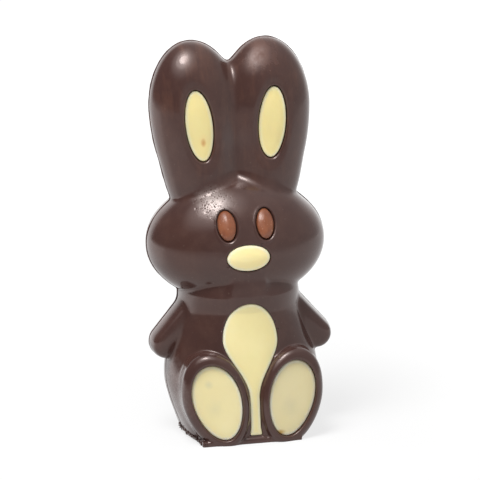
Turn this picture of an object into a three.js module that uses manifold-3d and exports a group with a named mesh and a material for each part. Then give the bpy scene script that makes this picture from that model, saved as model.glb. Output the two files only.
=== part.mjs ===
// A sitting bunny moulded in dark chocolate, with white and milk chocolate inlays.
//
// Units are millimetres, +Z is up, and the bunny looks towards -Y. The origin is on the
// floor below the middle of the parting plane, where the two halves of the mould met.
// That plane leans back a little, so shapes are described with y measured from it, and
// the lean is put in at the end. Left and right are the bunny's own: its left is at +X.

import * as THREE from 'three';
import { mergeVertices } from 'three/addons/utils/BufferGeometryUtils.js';
import Module from 'manifold-3d';

const wasm = await Module();
wasm.setup();

// Driving dimensions

const LEAN = 0.1; // how far back the figure moves for each millimetre of height
const CELL = 2.84; // facet size of the chocolate body
const JOINT_GAP = 0.3; // between an inlay and the recess that it fills
const GRID = { low: [-13 * CELL, -29.3, -6.1], high: [13 * CELL, 28.4, 141] };
const BELOW_FLOOR = 3; // how far the uncut body runs on below the floor

const HEAD = { centre: [0, 0, 66.8], radii: [31.8, 23.2, 21.4] };
const CROWN = { centre: [0, -4.5, 75], radii: [17, 15.6, 16.5], blend: 9 };

const EAR = {
  across: 13.4,
  along: -0.5,
  widestAt: 114,
  halfWidth: 15.3,
  above: 23.1,
  below: 35,
  front: 13.2,
  back: 10.5,
  toeIn: 0.03,
  blend: 3.5,
};
const EAR_DENT = {
  across: 13,
  height: 108.8,
  halfWidth: 6.9,
  halfHeight: 16.6,
  tilt: 0.096,
  depth: 1.1,
  edge: 0.35,
};
const EAR_ROOT = { centre: [11.5, -0.5, 88], radii: [11.6, 9.8, 14], blend: 5 };
const EAR_WEB = { halfWidth: 5, halfThickness: 2.5, bottom: 80, top: 128.5, blend: 4 };

// Torso sections by height: half width, reach to the front and back, and squareness
const TORSO = {
  halfWidth: [[0, 21.4], [5, 23.2], [11, 25.2], [18, 26.8], [26, 26.6], [36, 24], [44, 21.6], [52, 19.5]],
  front: [[0, 22.4], [10, 22.8], [20, 22.8], [30, 21.4], [38, 20.3], [43, 20], [48, 21.3], [53, 20.6]],
  back: [[0, 17], [10, 19], [24, 20], [36, 18.5], [44, 17], [52, 15]],
  squareness: [[0, 5], [8, 3.6], [20, 2.6], [32, 2.1], [44, 2.1], [54, 2.1]],
  top: 52.8,
  shoulderBlend: 6,
  frontTaper: 0.16,
  frontTaperTop: 30,
  blend: 2,
};
const ARM = {
  shoulder: [15.6, -1.5, 46.3],
  hand: [26.9, -1.5, 32.7],
  shoulderRadius: 6.2,
  handRadius: 5.6,
  deepness: 1.35,
  blend: 2.5,
};
const ARM_DISH = { centre: [24.8, -14.6, 38], radii: [4.6, 7.6, 9.5], tilt: -0.55, blend: 2 };
const FOOT = {
  across: 13.5,
  height: 15.2,
  tilt: 0.24,
  halfWidth: 11.3,
  halfHeight: 17.4,
  narrowing: 0.06,
  sole: -22.9,
  splay: 0.165,
  rim: 1,
  reachBack: 8,
  rounding: 3.4,
  blend: 1.6,
};
const SOLE_RECESS = { halfWidth: 8.3, halfHeight: 14.2, narrowing: 0.1, inward: 0.3, down: 0.3, depth: 0.2 };
const CHIN_TUFT = { centre: [14.4, -13.6, 51], radii: [3.2, 3.4, 5], blend: 2.5 };
const TAIL = { centre: [0, 18.5, 13], radii: [8, 6, 7.5], blend: 2 };

const INLAY = { thickness: 2, crown: 0.35, edgeDrop: 0.25 };
const EAR_INLAY = { across: 13, height: 109, halfWidth: 4.8, halfHeight: 12.35, tilt: 0.096, narrowing: 0 };
const EYE = { across: 6.7, height: 76, halfWidth: 3.3, halfHeight: 5.3, tilt: 0.02, narrowing: 0 };
const NOSE = { across: 0, height: 64.6, halfWidth: 7.6, halfHeight: 4.6, tilt: 0, narrowing: 0 };
const FOOT_PAD = {
  across: 13.2,
  height: 14.9,
  halfWidth: 7.75,
  halfHeight: 13.3,
  tilt: 0.25,
  narrowing: 0.1,
};
const BELLY = {
  top: 48.2,
  bottom: 2.6,
  widestAt: 35,
  halfWidth: 9.75,
  tailHalfWidth: 1.75,
  tailFlare: 0.5,
  flareTop: 5.5,
  flareHeight: 3,
  waist: 19.5,
};

const DARK_CHOCOLATE = { color: 0x3f2a25, roughness: 0.25, metalness: 0 };
const MILK_CHOCOLATE = { color: 0xa0603f, roughness: 0.35, metalness: 0 };
const WHITE_CHOCOLATE = { color: 0xf0e3a8, roughness: 0.4, metalness: 0 };

// Small helpers for shapes given as signed distances: negative inside, positive outside

const clamp = (value, low, high) => Math.min(Math.max(value, low), high);

function softStep(value) {
  const t = clamp(value, 0, 1);
  return t * t * (3 - 2 * t);
}

function join(a, b, blend) {
  const overlap = Math.max(blend - Math.abs(a - b), 0) / blend;
  return Math.min(a, b) - overlap * overlap * blend * 0.25;
}

function carve(solid, hollow, blend) {
  return -join(-solid, hollow, blend);
}

// Distance to an ellipsoid from its normalised offset; also serves an ellipse in two axes
function roundDistance(offsets, radii) {
  let scaled = 0;
  let slope = 0;
  for (let axis = 0; axis < offsets.length; axis += 1) {
    scaled += (offsets[axis] / radii[axis]) ** 2;
    slope += (offsets[axis] / radii[axis] ** 2) ** 2;
  }
  const size = Math.sqrt(scaled);
  return (size * (size - 1)) / Math.max(Math.sqrt(slope), 1e-6);
}

function ellipsoid(x, y, z, { centre, radii }) {
  return roundDistance([x - centre[0], y - centre[1], z - centre[2]], radii);
}

// Smooth curve through [height, size] knots
function profile(height, knots) {
  const last = knots.length - 1;
  let i = 0;
  while (i < last - 1 && height > knots[i + 1][0]) i += 1;
  const slopeOf = (k) => (knots[k + 1][1] - knots[k][1]) / (knots[k + 1][0] - knots[k][0]);
  const tangent = (k) => {
    if (k === 0) return slopeOf(0);
    if (k === last) return slopeOf(last - 1);
    return (slopeOf(k - 1) + slopeOf(k)) / 2;
  };
  const span = knots[i + 1][0] - knots[i][0];
  const t = clamp((height - knots[i][0]) / span, 0, 1);
  const t2 = t * t;
  const t3 = t2 * t;
  const start = (2 * t3 - 3 * t2 + 1) * knots[i][1] + (t3 - 2 * t2 + t) * span * tangent(i);
  const end = (3 * t2 - 2 * t3) * knots[i + 1][1] + (t3 - t2) * span * tangent(i + 1);
  return start + end;
}

// An egg outline, narrower towards -v
function egg(u, v, { halfWidth, halfHeight, narrowing }) {
  const width = halfWidth * (1 + (narrowing * v) / halfHeight);
  return roundDistance([u, v], [width, halfHeight]);
}

// The forms of the bunny, each for one side: x is the distance from the plane of symmetry

function ears(x, y, z) {
  const below = z < EAR.widestAt;
  const across = x - EAR.across + EAR.toeIn * Math.max(EAR.widestAt - z, 0);
  const depth = y < EAR.along ? EAR.front : EAR.back;
  const radii = [EAR.halfWidth, depth, below ? EAR.below : EAR.above];
  let ear = roundDistance([across, y - EAR.along, z - EAR.widestAt], radii);
  const u = (x - EAR_DENT.across - EAR_DENT.tilt * (z - EAR_DENT.height)) / EAR_DENT.halfWidth;
  const v = (z - EAR_DENT.height) / EAR_DENT.halfHeight;
  const inDent = softStep((1 - Math.hypot(u, v)) / EAR_DENT.edge + 0.5);
  ear += EAR_DENT.depth * inDent * softStep(-y / EAR.front);
  const web = Math.max(
    x - EAR_WEB.halfWidth,
    Math.abs(y) - EAR_WEB.halfThickness,
    z - EAR_WEB.top,
    EAR_WEB.bottom - z,
  );
  ear = join(ear, web, EAR_WEB.blend);
  return join(ear, ellipsoid(x, y, z, EAR_ROOT), EAR_ROOT.blend);
}

function torso(x, y, z) {
  const height = clamp(z, -2, 54);
  const nearFront = (Math.min(y, 0) / TORSO.front[0][1]) ** 2;
  const taper = TORSO.frontTaper * nearFront * clamp(1 - z / TORSO.frontTaperTop, 0, 1);
  const halfWidth = profile(height, TORSO.halfWidth) * (1 - taper);
  const reach = profile(height, y < 0 ? TORSO.front : TORSO.back);
  const power = profile(height, TORSO.squareness);
  const size = ((x / halfWidth) ** power + (Math.abs(y) / reach) ** power) ** (1 / power);
  const wall = (size - 1) * Math.min(halfWidth, reach);
  return carve(wall, TORSO.top - z, TORSO.shoulderBlend);
}

// A round cone from shoulder to hand, deeper than it is wide, with a dished front
function arm(x, y, z) {
  const axis = [0, 1, 2].map((k) => ARM.hand[k] - ARM.shoulder[k]);
  const point = [x - ARM.shoulder[0], (y - ARM.shoulder[1]) / ARM.deepness, z - ARM.shoulder[2]];
  const length = Math.hypot(...axis);
  const along = (point[0] * axis[0] + point[1] * axis[1] + point[2] * axis[2]) / length;
  const off = Math.sqrt(Math.max(point[0] ** 2 + point[1] ** 2 + point[2] ** 2 - along ** 2, 0));
  const slant = (ARM.shoulderRadius - ARM.handRadius) / length;
  const t = clamp((along + off * slant) / length, 0, 1);
  const radius = ARM.shoulderRadius + (ARM.handRadius - ARM.shoulderRadius) * t;
  const cone = Math.hypot(off, along - t * length) - radius;
  const tilted = x - ARM_DISH.tilt * (z - ARM_DISH.centre[2]);
  return carve(cone, ellipsoid(tilted, y, z, ARM_DISH), ARM_DISH.blend);
}

const solePlane = (x) => FOOT.sole + FOOT.splay * (x - FOOT.across);

const soleFloor = (x) => solePlane(Math.abs(x)) + SOLE_RECESS.depth;

// An upright foot with its sole to the front: a thick egg with a round rim
function foot(x, y, z) {
  const square = 1 / Math.hypot(1, FOOT.tilt);
  const u = (x - FOOT.across - FOOT.tilt * (z - FOOT.height)) * square;
  const v = (z - FOOT.height + FOOT.tilt * (x - FOOT.across)) * square;
  const outline = egg(u, v, FOOT) + FOOT.rounding;
  const faces = Math.max(solePlane(x) - FOOT.rim - y, y + FOOT.reachBack) + FOOT.rounding;
  const inside = Math.min(Math.max(outline, faces), 0);
  const slab = inside + Math.hypot(Math.max(outline, 0), Math.max(faces, 0)) - FOOT.rounding;
  const recess = Math.max(
    egg(u + SOLE_RECESS.inward, v + SOLE_RECESS.down, SOLE_RECESS),
    y - soleFloor(x),
  );
  return carve(slab, recess, FOOT.blend);
}

function bunny(x, y, z) {
  const side = Math.abs(x);
  let upper = join(ellipsoid(side, y, z, HEAD), ellipsoid(side, y, z, CROWN), CROWN.blend);
  upper = join(upper, ears(side, y, z), EAR.blend);
  let lower = join(torso(side, y, z), arm(side, y, z), ARM.blend);
  lower = join(lower, foot(side, y, z), FOOT.blend);
  let whole = join(upper, lower, TORSO.blend);
  whole = join(whole, ellipsoid(side, y, z, CHIN_TUFT), CHIN_TUFT.blend);
  return join(whole, ellipsoid(side, y, z, TAIL), TAIL.blend);
}

// Where the front surface lies, seen along +Y at one place
function frontDepth(x, z) {
  const stride = 0.5;
  let inside = -40;
  while (inside < 0 && bunny(x, inside, z) > 0) inside += stride;
  let outside = inside - stride;
  for (let halving = 0; halving < 12; halving += 1) {
    const middle = (inside + outside) / 2;
    if (bunny(x, middle, z) > 0) outside = middle;
    else inside = middle;
  }
  return inside;
}

// A closed facet surface around everything inside a shape: one vertex in each grid cell
// that the surface passes through, at the mean of its crossings with the cell's edges
function surfaceNet(shape, low, high, cell) {
  const counts = low.map((start, axis) => Math.ceil((high[axis] - start) / cell) + 1);
  const stride = [1, counts[0], counts[0] * counts[1]];
  const values = new Float64Array(counts[0] * counts[1] * counts[2]);
  const eachCell = (margin, visit) => {
    for (let k = 0; k < counts[2] - margin; k += 1) {
      for (let j = 0; j < counts[1] - margin; j += 1) {
        for (let i = 0; i < counts[0] - margin; i += 1) {
          visit([i, j, k], i + j * stride[1] + k * stride[2]);
        }
      }
    }
  };
  const place = (index) => index.map((count, axis) => low[axis] + count * cell);
  eachCell(0, (index, at) => {
    values[at] = shape(...place(index));
  });

  const vertexAt = new Map();
  const vertices = [];
  eachCell(1, (index, at) => {
    const sum = [0, 0, 0];
    let crossings = 0;
    for (let axis = 0; axis < 3; axis += 1) {
      const [next, after] = [(axis + 1) % 3, (axis + 2) % 3];
      for (const [du, dv] of [[0, 0], [1, 0], [0, 1], [1, 1]]) {
        const start = at + du * stride[next] + dv * stride[after];
        const [a, b] = [values[start], values[start + stride[axis]]];
        if (a < 0 === b < 0) continue;
        sum[axis] += a / (a - b);
        sum[next] += du;
        sum[after] += dv;
        crossings += 1;
      }
    }
    if (crossings === 0) return;
    vertexAt.set(at, vertices.length);
    vertices.push(place(index.map((count, axis) => count + sum[axis] / crossings)));
  });

  const triangles = [];
  eachCell(1, (index, at) => {
    for (let axis = 0; axis < 3; axis += 1) {
      const [next, after] = [(axis + 1) % 3, (axis + 2) % 3];
      if (index[next] === 0 || index[after] === 0) continue;
      const inside = values[at] < 0;
      if (inside === values[at + stride[axis]] < 0) continue;
      const ring = [at - stride[next] - stride[after], at - stride[after], at, at - stride[next]];
      const quad = ring.map((corner) => vertexAt.get(corner));
      if (!inside) quad.reverse();
      triangles.push(quad[0], quad[1], quad[2], quad[0], quad[2], quad[3]);
    }
  });
  return { vertices, triangles };
}

// Moves each vertex of a facet surface onto the true surface of the shape
function settle(vertices, shape) {
  const probe = 0.05;
  return vertices.map((start) => {
    let point = start;
    for (let step = 0; step < 3; step += 1) {
      const value = shape(...point);
      const slope = [0, 1, 2].map((axis) => {
        const ahead = point.slice();
        const behind = point.slice();
        ahead[axis] += probe;
        behind[axis] -= probe;
        return (shape(...ahead) - shape(...behind)) / (2 * probe);
      });
      const steepness = Math.max(slope[0] ** 2 + slope[1] ** 2 + slope[2] ** 2, 0.25);
      const move = (0.8 * value) / steepness;
      point = point.map((part, axis) => part - slope[axis] * move);
    }
    return point;
  });
}

// Puts the lean in, merges vertices that meet and drops triangles that have no area
function leaningGeometry(vertices, triangles) {
  const flat = vertices.flatMap(([x, y, z]) => [x, y + LEAN * z, z]);
  const loose = new THREE.BufferGeometry();
  loose.setAttribute('position', new THREE.Float32BufferAttribute(flat, 3));
  loose.setIndex(triangles);
  const merged = mergeVertices(loose, 1e-3);
  const kept = [];
  const index = merged.index.array;
  for (let i = 0; i < index.length; i += 3) {
    const [a, b, c] = index.slice(i, i + 3);
    if (a !== b && b !== c && c !== a) kept.push(a, b, c);
  }
  merged.setIndex(kept);
  return merged;
}

// A closed slab from two grids of points, one seen from the front and one behind it
function slab(front, back) {
  const rows = front.length;
  const columns = front[0].length;
  const vertices = [...front.flat(), ...back.flat()];
  const faceSize = rows * columns;
  const triangles = [];
  const quad = (a, b, c, d) => triangles.push(a, b, c, a, c, d);
  const at = (row, column, face = 0) => face * faceSize + row * columns + column;
  for (let row = 0; row + 1 < rows; row += 1) {
    for (let column = 0; column + 1 < columns; column += 1) {
      quad(at(row, column), at(row, column + 1), at(row + 1, column + 1), at(row + 1, column));
      quad(
        at(row + 1, column, 1),
        at(row + 1, column + 1, 1),
        at(row, column + 1, 1),
        at(row, column, 1),
      );
    }
  }
  const edge = [];
  for (let column = 0; column + 1 < columns; column += 1) edge.push([0, column]);
  for (let row = 0; row + 1 < rows; row += 1) edge.push([row, columns - 1]);
  for (let column = columns - 1; column > 0; column -= 1) edge.push([rows - 1, column]);
  for (let row = rows - 1; row > 0; row -= 1) edge.push([row, 0]);
  edge.forEach(([row, column], i) => {
    const [nextRow, nextColumn] = edge[(i + 1) % edge.length];
    quad(
      at(row, column, 1),
      at(nextRow, nextColumn, 1),
      at(nextRow, nextColumn),
      at(row, column),
    );
  });
  return leaningGeometry(vertices, triangles);
}

// Outlines of the inlays: half width at a height v from the outline's middle, and the depth
// of the surface that the inlay lies in

function eggOutline(size, side = 1, surfaceAt = frontDepth) {
  return {
    surfaceAt,
    across: side * size.across,
    height: size.height,
    halfHeight: size.halfHeight,
    tilt: side * size.tilt,
    halfWidthAt: (v) => {
      const round = Math.sqrt(Math.max(1 - (v / size.halfHeight) ** 2, 0));
      return size.halfWidth * round * (1 + (size.narrowing * v) / size.halfHeight);
    },
  };
}

// A bulb above, drawn in to a narrow strip between the feet that flares a little at its end
function bellyOutline() {
  const height = (BELLY.top + BELLY.bottom) / 2;
  const halfHeight = (BELLY.top - BELLY.bottom) / 2;
  return {
    surfaceAt: frontDepth,
    across: 0,
    height,
    halfHeight,
    tilt: 0,
    halfWidthAt: (v) => {
      const z = height + v;
      if (z > BELLY.widestAt) {
        const up = Math.min((z - BELLY.widestAt) / (BELLY.top - BELLY.widestAt), 1);
        return BELLY.halfWidth * Math.sqrt(1 - up * up);
      }
      const down = clamp((BELLY.widestAt - z) / BELLY.waist, 0, 1);
      const flare = BELLY.tailFlare * clamp((BELLY.flareTop - z) / BELLY.flareHeight, 0, 1);
      const shoulder = 0.5 + 0.5 * Math.cos(Math.PI * down ** 0.88);
      return BELLY.tailHalfWidth + flare + (BELLY.halfWidth - BELLY.tailHalfWidth) * shoulder;
    },
  };
}

// A grid of points over an outline, grown by a margin, each put at the depth asked for
function outlineGrid(outline, rows, columns, margin, depthAt) {
  const grid = [];
  for (let row = 0; row <= rows; row += 1) {
    const rise = -Math.cos((Math.PI * row) / rows);
    const v = rise * outline.halfHeight;
    const width = outline.halfWidthAt(v);
    const line = [];
    for (let column = 0; column <= columns; column += 1) {
      const share = (2 * column) / columns - 1;
      const open = width > 0 ? margin : 0;
      const u = share * (width + open);
      const tall = rise * (outline.halfHeight + margin);
      const x = outline.across + u * Math.cos(outline.tilt) + tall * Math.sin(outline.tilt);
      const z = outline.height - u * Math.sin(outline.tilt) + tall * Math.cos(outline.tilt);
      line.push([x, depthAt(x, z, share, rise), z]);
    }
    grid.push(line);
  }
  return grid;
}

function inlayGeometry(outline, rows, columns) {
  const front = outlineGrid(outline, rows, columns, 0, (x, z, share, rise) => {
    const middle = (1 - share ** 4) * (1 - rise ** 4);
    return outline.surfaceAt(x, z) + INLAY.edgeDrop * (1 - middle) - INLAY.crown * middle;
  });
  const behind = ([x, , z]) => [x, outline.surfaceAt(x, z) + INLAY.thickness, z];
  return slab(front, front.map((line) => line.map(behind)));
}

// The space that an inlay fills: its outline and depth with the joint gap, open to the front
function recessGeometry(outline, rows, columns) {
  const clear = 6;
  const ahead = (x, z) => outline.surfaceAt(x, z) - clear;
  const behind = (x, z) => outline.surfaceAt(x, z) + INLAY.thickness + JOINT_GAP;
  return slab(
    outlineGrid(outline, rows, columns, JOINT_GAP, ahead),
    outlineGrid(outline, rows, columns, JOINT_GAP, behind),
  );
}

function toSolid(geometry) {
  const mesh = new wasm.Mesh({
    numProp: 3,
    vertProperties: new Float32Array(geometry.attributes.position.array),
    triVerts: new Uint32Array(geometry.index.array),
  });
  return new wasm.Manifold(mesh);
}

function toGeometry(solid) {
  const mesh = solid.getMesh();
  const geometry = new THREE.BufferGeometry();
  geometry.setAttribute('position', new THREE.BufferAttribute(mesh.vertProperties, 3));
  geometry.setIndex(withoutSlivers(mesh.vertProperties, mesh.triVerts));
  return geometry;
}

// Cutting leaves a few edges far shorter than a facet. The two ends of each become one,
// except where that would pinch the surface.
function withoutSlivers(positions, index) {
  const shortest = 0.06;
  const triangles = [];
  for (let i = 0; i < index.length; i += 3) triangles.push([index[i], index[i + 1], index[i + 2]]);
  const fans = Array.from({ length: positions.length / 3 }, () => new Set());
  for (const triangle of triangles) {
    for (const corner of triangle) fans[corner].add(triangle);
  }
  const neighbours = (vertex) => new Set([...fans[vertex]].flat());
  const apart = (a, b) => {
    const offsets = [0, 1, 2].map((axis) => positions[3 * a + axis] - positions[3 * b + axis]);
    return Math.hypot(...offsets);
  };
  const merge = (kept, gone) => {
    for (const triangle of fans[gone]) {
      if (triangle.includes(kept)) {
        for (const corner of triangle) if (corner !== gone) fans[corner].delete(triangle);
        triangle.length = 0;
      } else {
        triangle[triangle.indexOf(gone)] = kept;
        fans[kept].add(triangle);
      }
    }
    fans[gone].clear();
  };
  for (const triangle of triangles) {
    for (let side = 0; side < 3 && triangle.length === 3; side += 1) {
      const [a, b] = [triangle[side], triangle[(side + 1) % 3]];
      if (apart(a, b) > shortest) continue;
      const beside = neighbours(b);
      const shared = [...neighbours(a)].filter((vertex) => beside.has(vertex));
      if (shared.length === 4) merge(a, b);
    }
  }
  return triangles.flat();
}

// Everything below the floor, which gives the bunny its flat rest face
function floorBlock() {
  const size = 200;
  const block = new THREE.BoxGeometry(size, size, size);
  block.translate(0, 0, -size / 2);
  block.deleteAttribute('normal');
  block.deleteAttribute('uv');
  return mergeVertices(block);
}

function bodyGeometry(recesses) {
  const ended = (x, y, z) => Math.max(bunny(x, y, z), -z - BELOW_FLOOR);
  const net = surfaceNet(ended, GRID.low, GRID.high, CELL);
  let solid = toSolid(leaningGeometry(settle(net.vertices, ended), net.triangles));
  solid = solid.subtract(toSolid(floorBlock()));
  for (const recess of recesses) solid = solid.subtract(toSolid(recess));
  return toGeometry(solid);
}

function namedMesh(name, geometry, finish) {
  geometry.computeVertexNormals();
  const mesh = new THREE.Mesh(geometry, new THREE.MeshStandardMaterial(finish));
  mesh.name = name;
  return mesh;
}

// Each inlay: node name, outline, finish, and how many rows and columns its facets have
function inlayList() {
  const list = [
    ['nose_inlay', eggOutline(NOSE), WHITE_CHOCOLATE, 10, 10],
    ['belly_inlay', bellyOutline(), WHITE_CHOCOLATE, 24, 8],
  ];
  for (const [word, side] of [['left', 1], ['right', -1]]) {
    list.push([`${word}_ear_inlay`, eggOutline(EAR_INLAY, side), WHITE_CHOCOLATE, 14, 6]);
    list.push([`${word}_foot_pad`, eggOutline(FOOT_PAD, side, soleFloor), WHITE_CHOCOLATE, 14, 8]);
    list.push([`${word}_eye`, eggOutline(EYE, side), MILK_CHOCOLATE, 10, 6]);
  }
  return list;
}

const group = new THREE.Group();
const inlays = inlayList();
const recesses = inlays.map(([, outline, , rows, columns]) => recessGeometry(outline, rows, columns));
group.add(namedMesh('dark_chocolate_body', bodyGeometry(recesses), DARK_CHOCOLATE));
for (const [name, outline, finish, rows, columns] of inlays) {
  group.add(namedMesh(name, inlayGeometry(outline, rows, columns), finish));
}

export default group;
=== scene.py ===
"""The looks of a moulded dark chocolate bunny with white and milk chocolate inlays.

Laid out as an add-on and run as a script. The bunny's shape is described once, as a smooth
signed distance in millimetres, and every piece is a facet surface of it. Lengths in the
settings are metres, as in the rest of Blender.
"""

import math

import bpy
import numpy as np
from bpy.props import FloatProperty, FloatVectorProperty, IntProperty, PointerProperty
from mathutils import Matrix, Vector


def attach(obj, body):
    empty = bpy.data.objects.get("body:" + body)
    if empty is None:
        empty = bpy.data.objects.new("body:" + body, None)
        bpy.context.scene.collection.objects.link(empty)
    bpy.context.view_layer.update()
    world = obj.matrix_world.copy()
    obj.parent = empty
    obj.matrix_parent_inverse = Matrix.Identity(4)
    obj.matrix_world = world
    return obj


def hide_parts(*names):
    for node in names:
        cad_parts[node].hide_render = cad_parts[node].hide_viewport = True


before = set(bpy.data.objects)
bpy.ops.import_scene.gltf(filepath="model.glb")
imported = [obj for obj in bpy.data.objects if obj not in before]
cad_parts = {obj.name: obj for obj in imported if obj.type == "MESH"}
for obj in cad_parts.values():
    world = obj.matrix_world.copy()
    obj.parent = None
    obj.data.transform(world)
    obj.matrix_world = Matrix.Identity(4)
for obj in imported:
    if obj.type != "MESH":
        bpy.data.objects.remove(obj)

bl_info = {
    "name": "Dark Chocolate Bunny",
    "version": (1, 0, 0),
    "blender": (4, 5, 0),
    "location": "View3D > Sidebar > Bunny",
    "description": "Builds a moulded dark chocolate bunny with white and milk chocolate inlays",
    "category": "Object",
}

BODY = "root"
MM = 0.001
LEAN = 0.1  # how far back the figure moves for each millimetre of height

# Forms of the bunny, in millimetres. x is measured from the plane of symmetry, y from the
# leaning parting plane and z from the floor.

HEAD = {"centre": (0, 0, 66.8), "radii": (31.8, 23.2, 21.4)}
CROWN = {"centre": (0, -3.9, 74.6), "radii": (22.2, 14.5, 15), "blend": 4.9}
EAR = {
    "across": 13.4,
    "along": -0.5,
    "widest_at": 114,
    "half_width": 15.3,
    "above": 23.1,
    "below": 35,
    "front": 12.6,
    "back": 10.5,
    "toe_in": 0.03,
    "crease_rounding": 2,
    "blend": 1.2,
    "inner_blend": 1.3,
    "nape_blend": 5,
    "nape_reach": 5,
    "inner_half_width": 18,
    "inner_fade": 6,
}
EAR_DENT = {
    "across": 13,
    "height": 108.8,
    "half_width": 6.9,
    "half_height": 16.6,
    "tilt": 0.096,
    "depth": 2.1,
    "slope": 0.34,
    "softness": 0.2,
    "floor_softness": 0.3,
    "flat_sides": 0.45,
    "flat_side_fade": 0.4,
}
EAR_ROOT = {"centre": (11.2, -0.45, 89), "radii": (11.8, 10.1, 16.8), "blend": 4.7}
TORSO = {
    "half_width": (
        (0, 21.4), (5, 23.2), (11, 25.2), (18, 26.8), (26, 26.6),
        (36, 24), (44, 21.7), (50, 21.4), (56, 19.8), (60, 18.8),
    ),
    "front": (
        (0, 22.4), (10, 22.8), (20, 22.8), (30, 21.4), (38, 20.3), (43.8, 19.8),
        (44.8, 19.75), (45.8, 20), (49.2, 21), (50.4, 21.25), (51.6, 20.85), (60, 17.6),
    ),
    "back": ((0, 17), (10, 19), (24, 20), (36, 18.5), (44, 17), (52, 15), (57, 13), (60, 12)),
    "squareness": ((0, 5), (8, 3.6), (20, 2.6), (32, 2.1), (44, 2.1), (50, 2.2), (54, 2.35), (60, 2.35)),
    "bottom": -2,
    "top": 60,
    "front_taper": 0.16,
    "front_taper_top": 30,
    "blend": 1,
}
NECK = {"half_width": 8.8, "fade": 3.4, "from": 50.4, "fill": 0.36}
ARM = {
    "shoulder": (15.6, -1.5, 46.3),
    "hand": (26.9, -1.5, 32.7),
    "shoulder_radius": 5.1,
    "hand_radius": 5.6,
    "deepness": 1.75,
    "blend": 1.2,
}
ARM_FACE = {"front": -9.2, "middle": 44, "bow": 55, "blend": 2.4}
FOOT = {
    "across": 13.5,
    "height": 15.2,
    "tilt": 0.24,
    "half_width": 11.3,
    "half_height": 17.4,
    "narrowing": 0.06,
    "sole": -22.9,
    "splay": 0.165,
    "rim": 1,
    "reach_back": 1,
    "draft": 0.08,
    "draft_reach": 8,
    "rounding": 3.4,
    "blend": 0.9,
}
BASE = {
    "across": -1.6,
    "half_width": 17.7,
    "front": -23.2,
    "back": 12,
    "height": 1.6,
    "rounding": 0.5,
    "blend": 0.8,
}
SOLE_RECESS = {
    "half_width": 8.4,
    "half_height": 13.4,
    "narrowing": 0.1,
    "inward": 0.3,
    "down": 0.3,
    "depth": 0.2,
}
CHIN_TUFT = {"centre": (13.9, -14.4, 57), "radii": (1.5, 2.2, 2.6), "blend": 0.7}
CROWN_LOBE = {"centre": (8.15, -6.35, 83), "radii": (10.8, 4.5, 8.2), "blend": 2.1}
TAIL = {"centre": (0, 18.5, 13), "radii": (8, 6, 7.5), "blend": 2}

# Outlines of the inlays, seen from the front

EAR_INLAY = {"across": 13, "height": 109, "half_width": 4.8, "half_height": 12.35, "tilt": 0.096, "narrowing": 0}
EYE = {"across": 6.8, "height": 75.7, "half_width": 3.1, "half_height": 4.85, "tilt": 0.02, "narrowing": 0}
NOSE = {"across": 0, "height": 64.6, "half_width": 7.6, "half_height": 4.6, "tilt": 0, "narrowing": 0}
FOOT_PAD = {"across": 13.2, "height": 14.9, "half_width": 8.3, "half_height": 13.3, "tilt": 0.25, "narrowing": 0.1}
BELLY = {
    "top": 48.2,
    "bottom": 2.6,
    "widest_at": 35,
    "half_width": 9.75,
    "tail_half_width": 1.75,
    "tail_flare": 0.5,
    "flare_top": 5.5,
    "flare_height": 3,
    "waist": 19.5,
    "shoulder_power": 0.88,
    "end_rounding": 0.6,
}

# How each inlay lies in the dark chocolate: its dome's height and how far in from the edge
# the dome rises, how deep its edge is sunk, and the groove, rounded lip and raised bead of
# the dark chocolate around it. The cell is the grid that its facets come from.

RELIEF = {
    "nose": {"cell": 0.35, "crown": 0.75, "reach": 4.6, "sink": 0.15, "groove": 0.15, "lip": 0.45, "bead": 0.06},
    "belly": {"cell": 0.45, "crown": 0.3, "reach": 5, "sink": 0.12, "groove": 0.05, "lip": 0.25, "bead": 0.05},
    "ear": {"cell": 0.4, "crown": 0.45, "reach": 4.5, "sink": 0.35, "groove": 0.25, "lip": 0.6, "bead": 0.12},
    "pad": {"cell": 0.45, "crown": 0.3, "reach": 5, "sink": 0.1, "groove": 0, "lip": 0.2, "bead": 0},
    "eye": {"cell": 0.3, "crown": 1.15, "reach": 3.3, "sink": 0.25, "groove": 0.3, "lip": 0.6, "bead": 0.16},
}
INLAY_THICKNESS = 1.1
INLAY_FRONT_EDGE = 0.5
INLAY_BACK_EDGE = 0.3
# The paler rim is a painted edge sheen
INLAY_RIM = 1.6  # how far in from an inlay's edge its paler rim reaches
RECESS_DEPTH = 1.4
BEAD = {"away": 0.7, "width": 0.35}

# What casting left on the figure. Places are in millimetres, and the sizes of fins in metres.

BROW_PITS = {
    "across": -10.2,
    "height": 83.4,
    "spread": (2.4, 2),
    "slant": 0.35,
    "radius": (0.08, 0.19),
    "proud": 0.1,
    "lip": 0.12,
    "reach": 1.5,
}
BASE_EDGE = (
    (-17.6, -22.9, 0.9),
    (-19.8, -20, 0.9),
    (-21.6, -15, 1),
    (-22.6, -8, 1),
    (-23.2, 0, 0.9),
    (-23, 6, 0.8),
)
CHIP_SIZES = ((0.3, 0.25, 0.2), (1.3, 0.7, 0.5))
CORNER_CHIPS = ((15.6, -22.6, 0.8), (16.1, -21.6, 1.9), (16.4, -20.4, 1.2))
PARTING_LINE = {"start": (21.0, 0.3), "step": 0.6, "clear_of_middle": 0.05, "fewest": 100, "most": 2000}
PARTING_FIN = {"root": 0.0012, "wave_scale": 170.0, "lowest": 0.5, "highest": 1.25, "low_share": 0.4}
BASE_STRIP = {
    "root": 0.001,
    "spacing": 0.00035,
    "wave_scale": 900.0,
    "lowest": 0.15,
    "highest": 1.7,
    "low_share": 1.0,
}

# Worn places of the dark chocolate, two of which also carry painted light (a painted highlight on the brow
# and a painted sheen on the side wall): centre in millimetres, radii in metres, then softness and unevenness of the
# edge

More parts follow.
